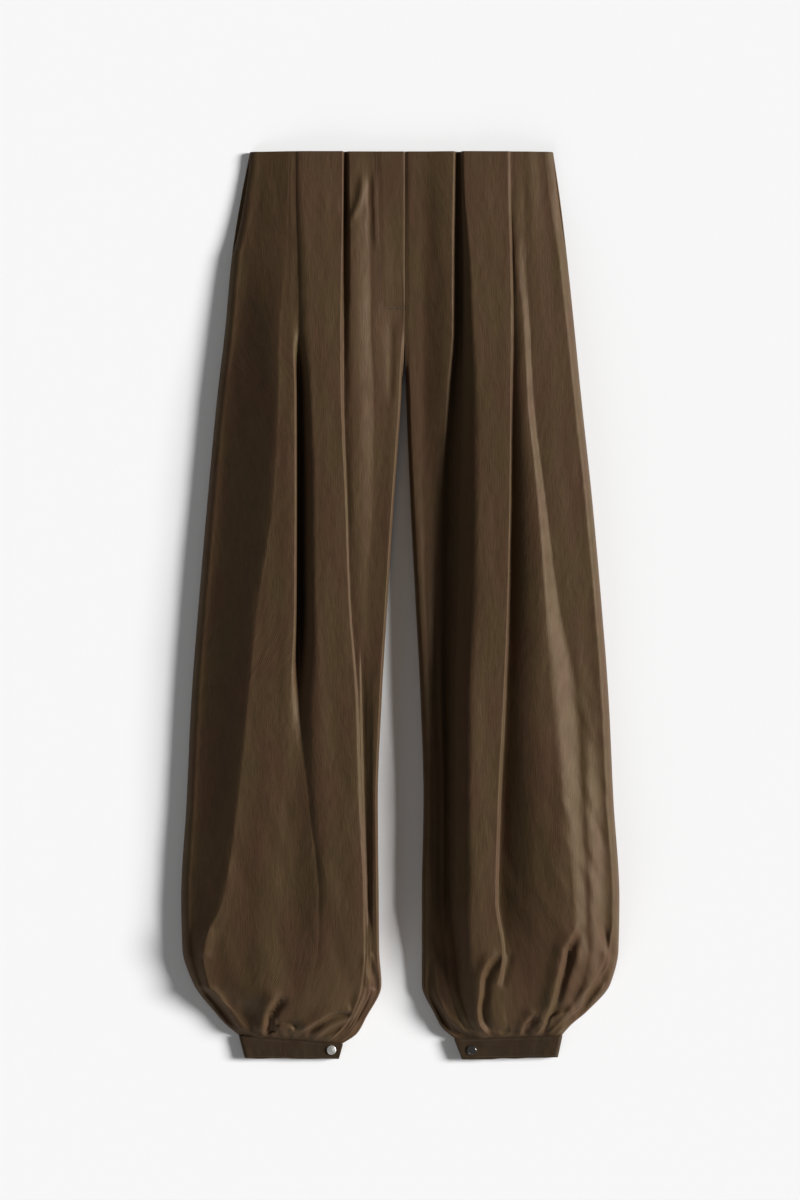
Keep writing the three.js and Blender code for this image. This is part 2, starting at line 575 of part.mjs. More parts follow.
// The fly lies on the left front, from the centre seam out to its J-shaped edge.
function flyPanel(leg) {
  const { top, foot, length, corner, cloth, gap } = FLY;
  const cornerAt = length - corner;
  const straight = rowsOf({ from: FLY_ROWS.second, to: cornerAt, step: FLY_ROWS.step });
  const rounded = rowsOf({ from: cornerAt, to: length, step: FLY_ROWS.cornerStep });
  const downs = [FLY_ROWS.first, ...straight, ...rounded, length];
  const under = downs.map((down) => {
    const round = clamp((down - cornerAt) / corner, 0, 1);
    const width = mix(top, foot, down / length) - corner * (1 - Math.sqrt(1 - round * round));
    const right = leg.inner(down);
    return QUARTERS.map((share) => {
      const x = mix(right - width, right, share);
      return new THREE.Vector3(x, WAIST_Y - down, faceHeight(leg, x, down) + gap);
    });
  });
  const lifted = under.map((row) => row.map((p) => p.clone().setZ(p.z + cloth)));
  return wall(lifted, under);
}

// A pocket's bearer shows in its mouth, between the front and the back at the side.
function pocketBearer(leg) {
  const { top, length, depth, cloth, inset } = POCKET;
  const low = SEAM_HEIGHT + SEAM_GAP / 2;
  const upper = POCKET_ROWS.map((share) => {
    const down = top + length * share;
    const row = [inset, depth / 2, depth].map(
      (reach) => new THREE.Vector3(leg.side(down) + leg.turn * reach, WAIST_Y - down, low + cloth),
    );
    return leg.turn > 0 ? row : row.reverse();
  });
  return wall(upper, upper.map((row) => row.map((p) => p.clone().setZ(low))));
}

const leftLeg = makeLeg(LEFT_LINES, LEFT_ACROSS, LEFT_HEIGHT, LEFT_FOLDS, LEFT_GATHERS, LEFT_CUFF);
const rightLeg = makeLeg(RIGHT_LINES, RIGHT_ACROSS, RIGHT_HEIGHT, RIGHT_FOLDS, RIGHT_GATHERS, RIGHT_CUFF);

const trousers = new THREE.Group();
function addPiece(name, geometry, material) {
  const mesh = new THREE.Mesh(mergeVertices(geometry), material);
  mesh.name = name;
  trousers.add(mesh);
  return mesh;
}

for (const [name, leg] of [["left", leftLeg], ["right", rightLeg]]) {
  addPiece(`front_${name}`, frontPanel(leg), COLOURS.cloth);
  addPiece(`back_${name}`, backPanel(leg), COLOURS.cloth);
  addPiece(`cuff_${name}`, cuffBand(leg), COLOURS.cuff);
  addPiece(`pocket_${name}`, pocketBearer(leg), COLOURS.cloth);
}
addPiece("fly", flyPanel(leftLeg), COLOURS.cloth);
for (const { side, across, down } of SNAPS) {
  const snap = addPiece(`snap_${side}`, snapCap(), COLOURS.snap);
  snap.position.set(across, WAIST_Y - down, CUFF_HEIGHT + SEAM_GAP);
}

export default trousers;
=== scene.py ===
# Balloon trousers laid out flat on their back: two pleated fronts with a topstitched
# fly, two flat backs, pocket bearers, and legs gathered into snapped cuffs. Tables are in
# millimetres, as distances across (from the middle of the outline), down (from the waist
# edge) and up (from the surface that the trousers lie on); meshes are in metres.
import math

import bmesh
import bpy
import numpy as np
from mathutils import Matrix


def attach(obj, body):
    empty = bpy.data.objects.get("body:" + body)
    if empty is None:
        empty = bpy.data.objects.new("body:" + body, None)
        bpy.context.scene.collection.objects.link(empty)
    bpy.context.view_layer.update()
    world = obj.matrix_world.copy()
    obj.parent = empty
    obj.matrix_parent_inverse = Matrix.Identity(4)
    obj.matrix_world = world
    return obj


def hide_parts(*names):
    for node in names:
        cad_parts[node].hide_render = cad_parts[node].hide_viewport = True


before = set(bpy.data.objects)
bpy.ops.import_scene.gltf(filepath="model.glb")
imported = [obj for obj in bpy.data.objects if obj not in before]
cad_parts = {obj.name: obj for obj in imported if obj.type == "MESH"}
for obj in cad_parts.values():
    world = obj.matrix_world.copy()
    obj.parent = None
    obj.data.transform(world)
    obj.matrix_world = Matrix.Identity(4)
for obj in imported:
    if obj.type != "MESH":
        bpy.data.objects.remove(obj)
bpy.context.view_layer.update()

MM = 0.001

# Driving sizes
LENGTH = 1060  # waist edge to the hem of the cuffs
CUFF_DROP = 24  # height of a cuff
CUFF_TOP = LENGTH - CUFF_DROP
WAIST_Y = LENGTH / 2
CLOTH = 0.8  # thickness of a panel's shell
WAIST_EDGE = 1.3  # thickness of the turned waist edge
WAIST_TURN = 24  # the turned edge reaches this far down
WAIST_TURN_BLEND = 10  # and thins out over this length
SEAM_GAP = 0.3  # between two pieces at a seam
SEAM_BULGE = 0.12  # a seam's edge stands this far into the gap
SEAM_HEIGHT = 2.6  # the side seam and inseam run at this height on the rounded edges
EDGE_ROLL = 11  # from the outline in to the top of the rounded edge
ROLL_SHARE = 0.45  # but no further than this share of the way to the next fold line
INNER_ROLL = {"waist": 4, "left": 2.5, "right": 5.5}  # the same along the inner edges
SEAM_RISE = 0.55  # share of its height over which a panel's edge stands upright
SEAM_GROOVE = {"left": (1.1, 0.5), "right": (3.2, 1.4)}  # the centre seam's reach and depth
CROTCH = 246  # from the waist edge down to the crotch
CROTCH_BLEND = 44  # the centre seam turns into the inseams over this length
FOLD_RADIUS = {"waist": 1.0, "leg": 2.2}  # of the sharpest folds
FOLD_RADIUS_BLEND = 420  # down to where the folds have the leg's radius
FOLD_FADE = 0.22  # a crease dies out over this share of its length at each end
FOLD_EXTENT = 3  # a crease is worked out to this many times its soft reach
FOLD_STEPS = 8  # along each stretch of a crease's line
HOLLOW_REACH = 3.4  # a crease's hollow is deepest this far out, against its steep side
EDGE_FADE = 9  # folds and ripples die out this far from a front's edges and its cuff
WAIST_FADE = 60  # ripples die out this far from the waist edge
CUFF_SHARE = 0.35  # share of the folds that is left at the cuff
CUFF_DIP = {"depth": 1.6, "length": 4.5}  # the front dips towards the cuff's edge
LEAN_FROM = 960  # below this the leg turns to follow the cuff's slanting edge
BACK_ROLL = 3  # radius of the back panels' rounded edges
BACK_ROLL_LEAST = 0.6  # share of that radius left where the seam lies on the surface
BACK_GRID = {"rows": 260, "columns": 62, "round": 6}
BACK_FADE = {"side": 12, "waist": 20, "cuff": 8}  # creases die out this far from an edge
BACK_WAVES = (0.5, 30, 120)  # height, and size across and down
BACK_SEED = {"left": 42, "right": 40}
ROW_STEP = 3.2
ROW_STEP_LOW = 1.5  # above the cuffs, where the folds are small
LOW = 900
COLUMN_CROWDING = 0.55  # how much closer the columns stand at the fold lines

CUFF_CLOTH = 1.5
CUFF_HEIGHT = 9.4  # of a flattened cuff, from the surface up
CUFF_WIDTH = 116  # halfway down a flattened cuff
CUFF_END = 0.4  # the outer end stops this far short of the fold under it
CUFF_LAP = 22  # the under end of a cuff's band lies this far under the outer end
CUFF_ROWS = 30
CUFF_POINTS = {"front": 90, "turn": 17, "back": 40, "lap": 14}  # along each stretch
CUFF_WAVES = ((0.45, 17, 13), (0.2, 7, 9))  # height, and size across and down
CUFF_HEM_WAVE = (0.7, 15, 40)  # the same of the hem's edge
CUFF_HEM_FROM = 0.4  # share of the cuff's height where the hem's wave starts
CUFF_SEED = {"left": 51, "right": 57}
PULL = {"down": 1045.5, "across": 90, "slope": 0.03, "width": 1.6, "rise": 0.5}
PULL_ENDS = ((88, 12), (165, 20))  # where it starts and ends, and how far each end fades
SNAP_DIAMETER = 11
SNAP_RISE = 1.7
SNAP_SIDES = 56
SNAP_DOME = 0.3  # share of its rise that the cap's top falls from its middle out
SNAP_TOP = 0.86  # share of the cap's radius where its rolled edge begins
SNAP_EDGE = 0.25  # share of its height that is left at the rolled edge's widest
SNAP_FOOT = 0.97  # share of the radius at its foot
SNAP_RINGS = ((0.62, 0.14), (0.34, 0.1))  # each ring's share of the radius, and its depth
SNAP_RING_WIDTH = 0.05
SNAPS = {"left": (-80.5, 1049.5), "right": (83.5, 1049.5)}

# The fly's widths, length and round corner, then how high it lies at its edge and inside
FLY = {"top": 35, "low": 29, "length": 184, "corner": 13, "edge": 0.12, "centre": 0.8}
FLY_SLOPE = 9  # it reaches its full height this far from its edge
FLY_GRID = {"row": 2.4, "foot": 16, "foot_rows": 22, "columns": 44, "crowding": 1.3}
FLY_TURN = 14  # the stitches turn towards the centre seam over this length
FLY_CLEARANCE = 0.06  # between the fly and the front under it
BAR_TACKS = (-8.5, 0.2)  # places across, at the fly's foot
BAR_TACK = {"half": 1.6, "points": 8, "up": 0.5, "rows": (-0.45, 0, 0.45)}
STITCH = {"step": 2.6, "length": 2.0, "thread": 0.42, "seed": 5}
STITCH_INSET = 1.4  # a row of stitches lies this far inside an edge
THREAD_LIFT = {"fly": 0.2, "bar": 0.15, "cuff": 0.1}  # a stitch's middle above the cloth
CUFF_STITCH_ROWS = (0.1, 0.91)  # shares of a cuff's height, from its top edge
CUFF_STITCH_ENDS = (0.05, 0.985)  # shares of a cuff's width
POCKET = {"top": 8, "length": 108, "depth": 20, "lift": 2.6, "cloth": 0.7, "rise": 1.1}
POCKET_GRID = {"start": 0.06, "end": 0.94, "rows": 40, "first": 0.7, "columns": 12}
POCKET_WAVES = (0.15, 9, 25)  # height, and size across and down
POCKET_SEED = 71
POCKET_INSET = {"left": 4.5, "right": 2.2}  # the front's edge lies this far inside the back's
RIM = {"fly": 0.05, "pocket": 0.3, "cuff": 0.5}  # how far a free edge bulges

# The sections of each leg's front, from the left edge to the right edge
LEFT_LINES = [
    "side", "roll", "ridge", "dome", "valley", "stripLeft", "stripRight", "gap", "pleat",
    "crease", "edge", "inseam",
]
LEFT_ACROSS = [
    # down side ridge dome valley stripLeft stripRight gap pleat crease inseam
    (0, -176, -130, -127, -122.5, -115, -68, -64.5, -59, -36, 5.2),
    (54, -186.5, -131, -127, -122, -113, -68, -64.5, -58.5, -35, 5.2),
    (125, -197.5, -133, -126, -120, -107, -69, -65, -57, -34, 5.2),
    (207, -205, -140, -126, -118, -104, -70, -65.5, -57, -33, 5.2),
    (288, -214.5, -141, -123, -118, -101, -69.5, -65, -55, -30, 1.2),
    (405, -225.5, -147, -122.5, -118, -97, -65, -61, -53, -31, -7),
    (522, -235.5, -164, -123, -118, -96, -61, -57, -50, -38, -14.5),
    (640, -244.5, -176, -129, -117, -88, -53, -47.5, -44, -38, -21.5),
    (757, -250, -188, -136, -107, -78, -50, -43, -40.5, -37, -26),
    (873, -256.5, -206, -140, -95, -72, -44, -39, -37, -34.5, -25),
    (932, -255, -229, -150, -96, -72, -44, -39, -36, -33.5, -24.5),
    (973, -242, -222, -152, -108, -82, -48, -42, -37, -33, -21.8),
    (1008, -217, -192, -142, -118, -94, -62, -56, -52, -49, -40),
    (1024, -203, -181, -146, -125, -103, -76, -69, -65, -61.5, -50),
    (1036, -188.5, -170, -144, -128, -110, -89, -83, -80, -77, -67.5),
]
LEFT_HEIGHT = [
    # down roll ridge dome valley stripLeft stripRight gap pleat crease edge centre
    (0, 9, 14.5, 14.8, 15, 16.5, 16, 9, 13, 12.5, 12.5, 12.5),
    (54, 11, 18.5, 19, 19.2, 21.5, 20, 10, 18.5, 16, 15, 15),
    (125, 14.5, 26, 26.5, 26.7, 30, 29, 20, 25.5, 20.5, 18, 18),
    (207, 17, 36, 37, 36, 40, 39, 28, 31.5, 25, 21, 21),
    (288, 18, 42.5, 43.5, 20, 42, 42, 35, 37, 32, 30, 18),
    (405, 18, 45, 46.5, 14, 45, 45.5, 42.5, 43.8, 41, 41.5, 18),
    (522, 18, 44.5, 47.5, 14, 48, 48.5, 46.7, 47.2, 46.5, 48, 18),
    (640, 18, 43, 45.5, 39, 51, 51.5, 48.5, 48.7, 49.3, 51.3, 18),
    (757, 18, 40, 42.5, 46, 51.5, 52, 49, 49, 49.4, 51, 18),
    (873, 19, 35.5, 40, 46.5, 50, 50.5, 48, 48, 48.4, 49.5, 18),
    (932, 20, 28.5, 37, 41.5, 43.5, 43.5, 42, 41.5, 41, 41.5, 18),
    (973, 18, 26, 37, 39.2, 39, 36, 33.5, 32, 30, 27, 18),
    (1008, 13, 19, 29, 29.5, 29, 24.5, 21.5, 19.5, 17, 14, 18),
    (1024, 13, 17, 21.5, 22, 22, 20, 15, 14.5, 14, 12, 18),
    (1036, 9.8, 9.8, 9.8, 9.8, 9.8, 9.8, 9.8, 9.8, 9.8, 9.8, 18),
]
RIGHT_LINES = [
    "inseam", "edge", "soft", "lip", "gap", "stripLeft", "stripRight", "slit", "crest", "foot",
    "roll", "side",
]
RIGHT_ACROSS = [
    # down inseam soft lip gap stripLeft stripRight slit crest foot side
    (0, 5.2, 24, 62, 69, 74.5, 124, 129, 133, 147, 179),
    (54, 5.2, 24, 61, 69.5, 76.5, 125, 129.5, 133.5, 148, 187),
    (125, 5.2, 24, 60, 70.5, 83, 127.5, 131, 135.5, 148, 195.5),
    (207, 5.2, 24, 60, 70, 87, 128, 132, 143, 152, 204),
    (288, 7, 25, 53, 68, 92, 127.5, 131, 147, 156, 212),
    (405, 11.5, 28, 46, 64, 93, 126.5, 130, 158.5, 170, 224.5),
    (522, 17.5, 31, 44, 62, 92, 124, 128, 167, 185, 235),
    (640, 23.5, 36, 46, 59, 85, 119, 123.5, 175, 208, 244),
    (757, 27, 40, 49, 59, 84, 113, 118, 188, 214, 249.5),
    (873, 25, 40, 49, 59, 84, 110, 114.5, 200, 218, 256.5),
    (932, 25, 41, 52, 64, 86, 118, 122.5, 203, 220, 255.5),
    (973, 25, 43, 55, 68, 89, 113, 121, 190, 212, 246),
    (1008, 40, 55, 66, 77, 93, 116, 124, 174, 192, 218),
    (1024, 49, 63, 74, 85, 99, 120, 127, 168, 180, 200),
    (1036, 63.3, 76, 85, 95, 105.5, 121, 128, 157, 167, 189.5),
]
RIGHT_HEIGHT = [
    # down centre edge soft lip gap stripLeft stripRight slit crest foot roll
    (0, 12.5, 12.5, 12.5, 15, 8, 16.5, 15, 13, 12.6, 11.8, 9),
    (54, 15, 15, 15, 19, 9, 21, 19.3, 16.5, 16.5, 14.8, 11.5),
    (125, 18, 17.5, 17.5, 23, 11, 28.5, 27.5, 24, 25.5, 22.5, 20),
    (207, 21, 20.5, 20.5, 27, 12, 35.5, 34.5, 31, 33.5, 29, 27),
    (288, 18, 18, 17.5, 23, 12, 39, 39, 32.5, 38, 32.5, 30.5),
    (405, 18, 19, 18, 17.5, 10, 43.5, 43.5, 30, 41, 34, 32),
    (522, 18, 21, 20, 18, 12, 48, 48, 29.5, 43.5, 33, 31.5),
    (640, 18, 23, 22, 20, 14, 51, 50.5, 29.8, 43, 29, 26.5),
    (757, 18, 23, 22, 20, 16, 52, 51, 30, 47.5, 38, 29),
    (873, 18, 22, 22, 20, 18, 51, 49.5, 31, 48.5, 42, 32),
    (932, 18, 16, 17, 18, 20, 43.5, 42.5, 35, 43, 38, 27),
    (973, 18, 13, 18, 20, 24, 36.5, 36, 35.5, 38, 31, 20),
    (1008, 18, 11, 17, 20, 24, 28, 29, 28, 28, 21, 13),
    (1024, 18, 12, 15, 17, 20, 22, 22, 21, 20, 16, 13),
    (1036, 18, 9.8, 9.8, 9.8, 9.8, 9.8, 9.8, 9.8, 9.8, 9.8, 9.8),
]

# How far a fold line's level top or floor reaches to each side, as a share of the
# distance to the next line, and how many columns of the mesh lie between the two
LINE_SHAPES = {
    "side": (0.5, 0.5, 9),
    "roll": (0.5, 0.2, 28),
    "ridge": (0.05, 0.3, 24),
    "dome": (0.3, 0.6, 16),
    "valley": (0.15, 0.1, 24),
    "stripLeft": (0.75, 0.35, 24),
    "stripRight": (0.4, 0.72, 12),
    "gap": (0.68, 0.15, 16),
    "pleat": (0.5, 0.5, 18),
    "crease": (0.15, 0.3, 20),
    "edge": (0.4, 0.6, 8),
    "inseam": (0.6, 0.6, 8),
    "soft": (0.4, 0.3, 20),
    "lip": (0.4, 0.4, 12),
    "slit": (0.3, 0.12, 24),
    "crest": (0.66, 0.35, 24),
    "foot": (0.35, 0.4, 24),
}

# Creases and gathers: how high each rises, how deep the hollow on its steep side is, how
# far its soft and its steep side reach, which side is steep, and its line of places, as
# (across, down)
FOLD_COLUMNS = ("rise", "hollow", "soft", "steep", "side", "line")
LEFT_FOLDS = [
    (2, 0, 7, 4, "left", [(-221, 900), (-226, 924), (-230, 944)]),
    (2.6, 3.2, 4.5, 2.4, "left",
     [(-238, 974), (-228, 975), (-216, 980), (-206, 994), (-195, 1010), (-187, 1022),
      (-181, 1029), (-170, 1033), (-158, 1036)]),
    (3.6, 6, 11, 2.2, "right",
     [(-136, 978), (-145, 986), (-153, 997), (-158, 1008), (-159, 1018), (-160, 1029),
      (-158, 1035)]),
    (2.0, 2.2, 3.2, 1.5, "right", [(-145, 1022), (-139, 1021), (-129, 1022), (-123, 1027)]),
    (2.6, 3.6, 9, 1.7, "right",
     [(-56, 1001), (-62, 1002), (-78, 1003), (-93, 1011), (-109, 1021), (-122, 1027)]),
    (2.4, 3.4, 7, 1.7, "right",
     [(-40, 975), (-46, 989), (-53, 1005), (-59, 1010), (-73, 1016), (-89, 1025), (-100, 1035)]),
    (1.8, 2, 5, 2.4, "right", [(-39, 930), (-40, 953), (-37, 967), (-40, 975)]),
    (1.8, 1, 5, 3.4, "right", [(-37, 931), (-30, 946), (-23, 961)]),
    (1.9, 1.2, 4, 3, "left", [(-44, 22), (-45, 43), (-47, 55), (-53, 71), (-59, 84)]),
    (0.9, 0.8, 3, 2, "left", [(-30, 18), (-30, 55), (-29, 84), (-28, 120)]),
    (-1.4, 0, 4.5, 4.5, "left", [(-11, 188), (-11, 242), (-12, 300)]),
    (-2.7, 0, 1.5, 7, "right", [(-46, 560), (-43.5, 670), (-41, 760), (-37.5, 860), (-37, 918)]),
    (1.2, 0.8, 8, 4, "right", [(-186, 985), (-190, 1004), (-172, 1030)]),
]
RIGHT_FOLDS = [
    (2.2, 2.6, 4.5, 2.2, "left",
     [(42, 982), (49, 997), (57, 1011), (69, 1022), (83, 1030), (96, 1035), (102, 1040)]),
    (1.2, 1.2, 5, 1.7, "right", [(121, 932), (120.5, 942), (118, 952), (114, 964), (110, 974)]),
    (3.3, 4.2, 9, 2, "right",
     [(116, 931), (110, 936), (102, 944), (96, 955), (93, 966), (92, 980), (90, 1000), (92, 1016),
      (96, 1024), (102, 1032), (111, 1038)]),
    (1.8, 2, 3, 1.5, "right", [(105, 1028), (118, 1031), (130, 1030)]),
    (2.9, 3.8, 8, 1.8, "right",
     [(160, 1002), (152, 1008), (146, 1016), (142, 1025), (140, 1035)]),
    (3.8, 6.2, 11, 2.1, "right",
     [(207, 895), (198, 914), (191, 928), (187, 945), (182, 966), (179, 980), (174, 996),
      (169, 1010), (166, 1019), (158, 1030), (152, 1036)]),
    (2.6, 2.2, 6, 1.8, "right",
     [(226, 890), (232, 912), (237, 930), (237, 942), (229, 958), (220, 972), (213, 983),
      (212, 993), (206, 1002), (198, 1008), (190, 1018), (184, 1030)]),
    (2.0, 2.0, 4, 1.9, "right",
     [(249, 898), (245, 912), (243, 930), (240, 950), (232, 964), (220, 977), (213, 988)]),
    (2.2, 3.0, 4, 1.7, "left", [(201, 1005), (184, 1007), (177, 1011), (174, 1021), (169, 1030)]),
]

# Small gathers along each cuff's top edge: their place as a share of the edge, how far up
# they run, and how high they stand
LEFT_GATHERS = [
    (0.06, 26, 1.6), (0.15, 20, 1.3), (0.25, 30, 2), (0.33, 18, 1.4), (0.43, 24, 1.9),
    (0.52, 20, 1.6), (0.61, 28, 2.2), (0.7, 20, 1.6), (0.79, 26, 1.9), (0.87, 20, 1.4),
    (0.94, 22, 1.2),
]
RIGHT_GATHERS = [
    (0.07, 22, 1.4), (0.16, 28, 1.8), (0.25, 20, 1.6), (0.34, 28, 2.2), (0.43, 20, 1.4),
    (0.52, 22, 1.6), (0.61, 28, 2.2), (0.7, 20, 1.6), (0.78, 30, 2.2), (0.86, 22, 1.8),
    (0.94, 22, 1.3),
]
GATHER_REACH = 0.026  # half the width of a small gather, as a share of the edge
GATHER_SPREAD = 0.5  # it widens by this share of that at its far end
GATHER_ONSET = 0.3  # it reaches its height over this share of its length

# The cloth's own unevenness, from long soft waves to fine ones
RIPPLES = [
    # height, size across and down, where, and its lean across and down
    (0.7, 26, 170, "all", 0, 0),
    (0.28, 11, 52, "all", 0, 0),
    (0.12, 5, 17, "all", 0.25, -0.4),
    (0.6, 16, 60, "low", -0.35, 0),
    (0.7, 9, 40, "outer", -0.45, 0.4),
]
RIPPLE_SEED = {"left": 11, "right": 23}
# Where the ripples of a part of the leg set in, and over what length
RIPPLE_LOW = (650, 250)
RIPPLE_OUTER = {"across": (150, 40), "down": (560, 160)}

# The top and hem corners of each cuff, as distances across and down
LEFT_CUFF = {
    "topLeft": (-189, 1033.5), "topRight": (-67, 1043), "hemLeft": (-182.4, 1059),
    "hemRight": (-71.7, 1060),
}
RIGHT_CUFF = {
    "topLeft": (63, 1037), "topRight": (190, 1033), "hemLeft": (72, 1060),
    "hemRight": (184.6, 1058.5),
}


def mix(a, b, share):
    return a + (b - a) * share


def smooth(share):
    s = np.clip(share, 0, 1)
    return s * s * (3 - 2 * s)


def fade_in(value, zone):
    start, length = zone
    return smooth((value - start) / length)


def named_folds(rows):
    return [dict(zip(FOLD_COLUMNS, row)) for row in rows]


def column_curve(rows, column):
    """A curve through a table's column that never overshoots between two rows."""
    at = np.array([row[0] for row in rows], float)
    value = np.array([row[column] for row in rows], float)
    slope = np.diff(value) / np.diff(at)
    before = slope[:-1]
    after = slope[1:]
    same_way = before * after > 0
    total = np.where(same_way, before + after, 1)
    bends = np.where(same_way, 2 * before * after / total, 0)
    tangent = np.concatenate([slope[:1], bends, slope[-1:]])

    def curve(x):
        i = np.clip(np.searchsorted(at, x, side="right") - 1, 0, len(at) - 2)
        width = at[i + 1] - at[i]
        t = np.clip((x - at[i]) / width, 0, 1)
        rest = 1 - t
        return (
            value[i] * rest**2 * (1 + 2 * t)
            + tangent[i] * width * t * rest**2
            + value[i + 1] * t**2 * (3 - 2 * t)
            - tangent[i + 1] * width * t**2 * rest
        )

    return curve


def soft_noise(x, down, across, along, seed):
    """Soft seeded bumps from -1 to 1, about `across` wide and `along` tall."""
    size = 64
    lattice = np.random.default_rng(seed).uniform(-1, 1, (size, size))
    u = np.asarray(x) / across + size / 2
    v = np.asarray(down) / along
    i = np.floor(u).astype(int)
    j = np.floor(v).astype(int)
    s = smooth(u - i)
    t = smooth(v - j)
    corner = [[lattice[(i + a) % size, (j + b) % size] for b in (0, 1)] for a in (0, 1)]
    return mix(mix(corner[0][0], corner[0][1], t), mix(corner[1][0], corner[1][1], t), s)


def pocket_opening(down):
    """How far the pocket's mouth is open: 0 outside it, 1 at its middle."""
    share = np.clip((down - POCKET["top"]) / POCKET["length"], 0, 1)
    return np.sqrt(np.maximum(np.sin(math.pi * share), 0))


class Leg:
    """One leg: its fold lines, and the surface of its front over (across, down)."""

    def __init__(self, name, lines, across, height, folds, gathers, cuff):
        self.name = name
        self.lines = lines
        self.from_side = lines[0] == "side"
        self.turn = 1 if self.from_side else -1
        self.next = "ridge" if self.from_side else "foot"
        self.folds = named_folds(folds)
        self.gathers = gathers
        self.cuff = cuff
        tabled_across = [line for line in lines if line not in ("roll", "edge")]
        tabled_height = [line for line in lines if line not in ("side", "inseam")]
        first = 1 if self.from_side else 2
        self.across = {line: column_curve(across, i + 1) for i, line in enumerate(tabled_across)}
        self.height = {
            line: column_curve(height, i + first) for i, line in enumerate(tabled_height)
        }
        self.centre_height = column_curve(height, len(height[0]) - 1 if self.from_side else 1)

    def split(self, down):
        return smooth((down - CROTCH) / CROTCH_BLEND)

    def side(self, down):
        return self.across["side"](down)

    def inner(self, down):
        return self.across["inseam"](down) - self.turn * SEAM_GAP / 2

    def place(self, line, down):
        """Where a fold line lies at a distance down: across, then up."""
        seam = SEAM_HEIGHT + SEAM_GAP / 2
        opening = pocket_opening(down)
        inset = self.turn * opening * POCKET_INSET[self.name]
        if line == "side":
            return self.side(down) + inset, seam + opening * POCKET["lift"]
        if line == "roll":
            room = np.abs(self.across[self.next](down) - self.side(down)) * ROLL_SHARE
            roll = np.minimum(EDGE_ROLL, room)
            return self.side(down) + self.turn * roll + inset, self.height["roll"](down)
        if line == "edge":
            width = mix(INNER_ROLL["waist"], INNER_ROLL[self.name], self.split(down))
            return self.inner(down) - self.turn * width, self.height["edge"](down)
        if line == "inseam":
            return self.inner(down), mix(self.centre_height(down), seam, self.split(down))
        return self.across[line](down), self.height[line](down)

    def band(self, start, end, downs, columns):
        """The band between two fold lines, with level ends that roll over the folds."""
        x0, z0 = self.place(start, downs)
        x1, z1 = self.place(end, downs)
        width = x1 - x0
        radius = mix(FOLD_RADIUS["waist"], FOLD_RADIUS["leg"], smooth(downs / FOLD_RADIUS_BLEND))
        least = np.minimum(np.sqrt((2 / 3) * np.abs(z1 - z0) * radius), width)
        reach0 = np.maximum(width * LINE_SHAPES[start][1], least)
        reach1 = np.maximum(width * LINE_SHAPES[end][0], least)
        upright = {"side": np.ones_like(downs), "inseam": self.split(downs)}
        up0 = upright.get(start, np.zeros_like(downs))
        up1 = upright.get(end, np.zeros_like(downs))
        handle0 = (mix(x0 + reach0, x0, up0), z0 + up0 * SEAM_RISE * (z1 - z0))
        handle1 = (mix(x1 - reach1, x1, up1), z1 + up1 * SEAM_RISE * (z0 - z1))
        t = np.linspace(0, 1, 6 * columns + 1)[None, :]
        weights = ((1 - t) ** 3, 3 * t * (1 - t) ** 2, 3 * t * t * (1 - t), t**3)
        xs = sum(w * p[:, None] for w, p in zip(weights, (x0, handle0[0], handle1[0], x1)))
        zs = sum(w * p[:, None] for w, p in zip(weights, (z0, handle0[1], handle1[1], z1)))
        steps = np.hypot(np.diff(xs, axis=1), np.diff(zs, axis=1))
        along = np.concatenate([np.zeros((len(downs), 1)), np.cumsum(steps, axis=1)], axis=1)
        share = np.arange(columns + 1) / columns
        share = share - COLUMN_CROWDING * np.sin(2 * math.pi * share) / (2 * math.pi)
        picked = [
            (np.interp(share * s[-1], s, x), np.interp(share * s[-1], s, z))
            for s, x, z in zip(along, xs, zs)
        ]
        return np.array([p[0] for p in picked]), np.array([p[1] for p in picked])

    def section(self, downs):
        """Places across and heights, one row for each distance down."""
        xs = []
        zs = []
        for start, end in zip(self.lines, self.lines[1:]):
            x, z = self.band(start, end, downs, LINE_SHAPES[start][2])
            xs.append(x[:, :-1])
            zs.append(z[:, :-1])
        xs.append(x[:, -1:])
        zs.append(z[:, -1:])
        return np.concatenate(xs, axis=1), np.concatenate(zs, axis=1)

    def lean(self, x, down):
        """The last stretch leans so that it ends along the cuff's slanting top edge."""
        left = self.cuff["topLeft"]
        right = self.cuff["topRight"]
        share = np.clip((x - left[0]) / (right[0] - left[0]), 0, 1)
        edge = mix(left[1], right[1], share) - SEAM_GAP
        return (edge - CUFF_TOP) * smooth((down - LEAN_FROM) / (CUFF_TOP - LEAN_FROM))

    def gather_rise(self, share, down):
        rise = np.zeros_like(share)
        for place, length, height in self.gathers:
            up = (CUFF_TOP - down) / length
            off = (share - place) / (GATHER_REACH * (1 + GATHER_SPREAD * np.maximum(up, 0)))
            rise += height * smooth(up / GATHER_ONSET) * smooth(1 - up) * np.exp(-off * off)
        return rise

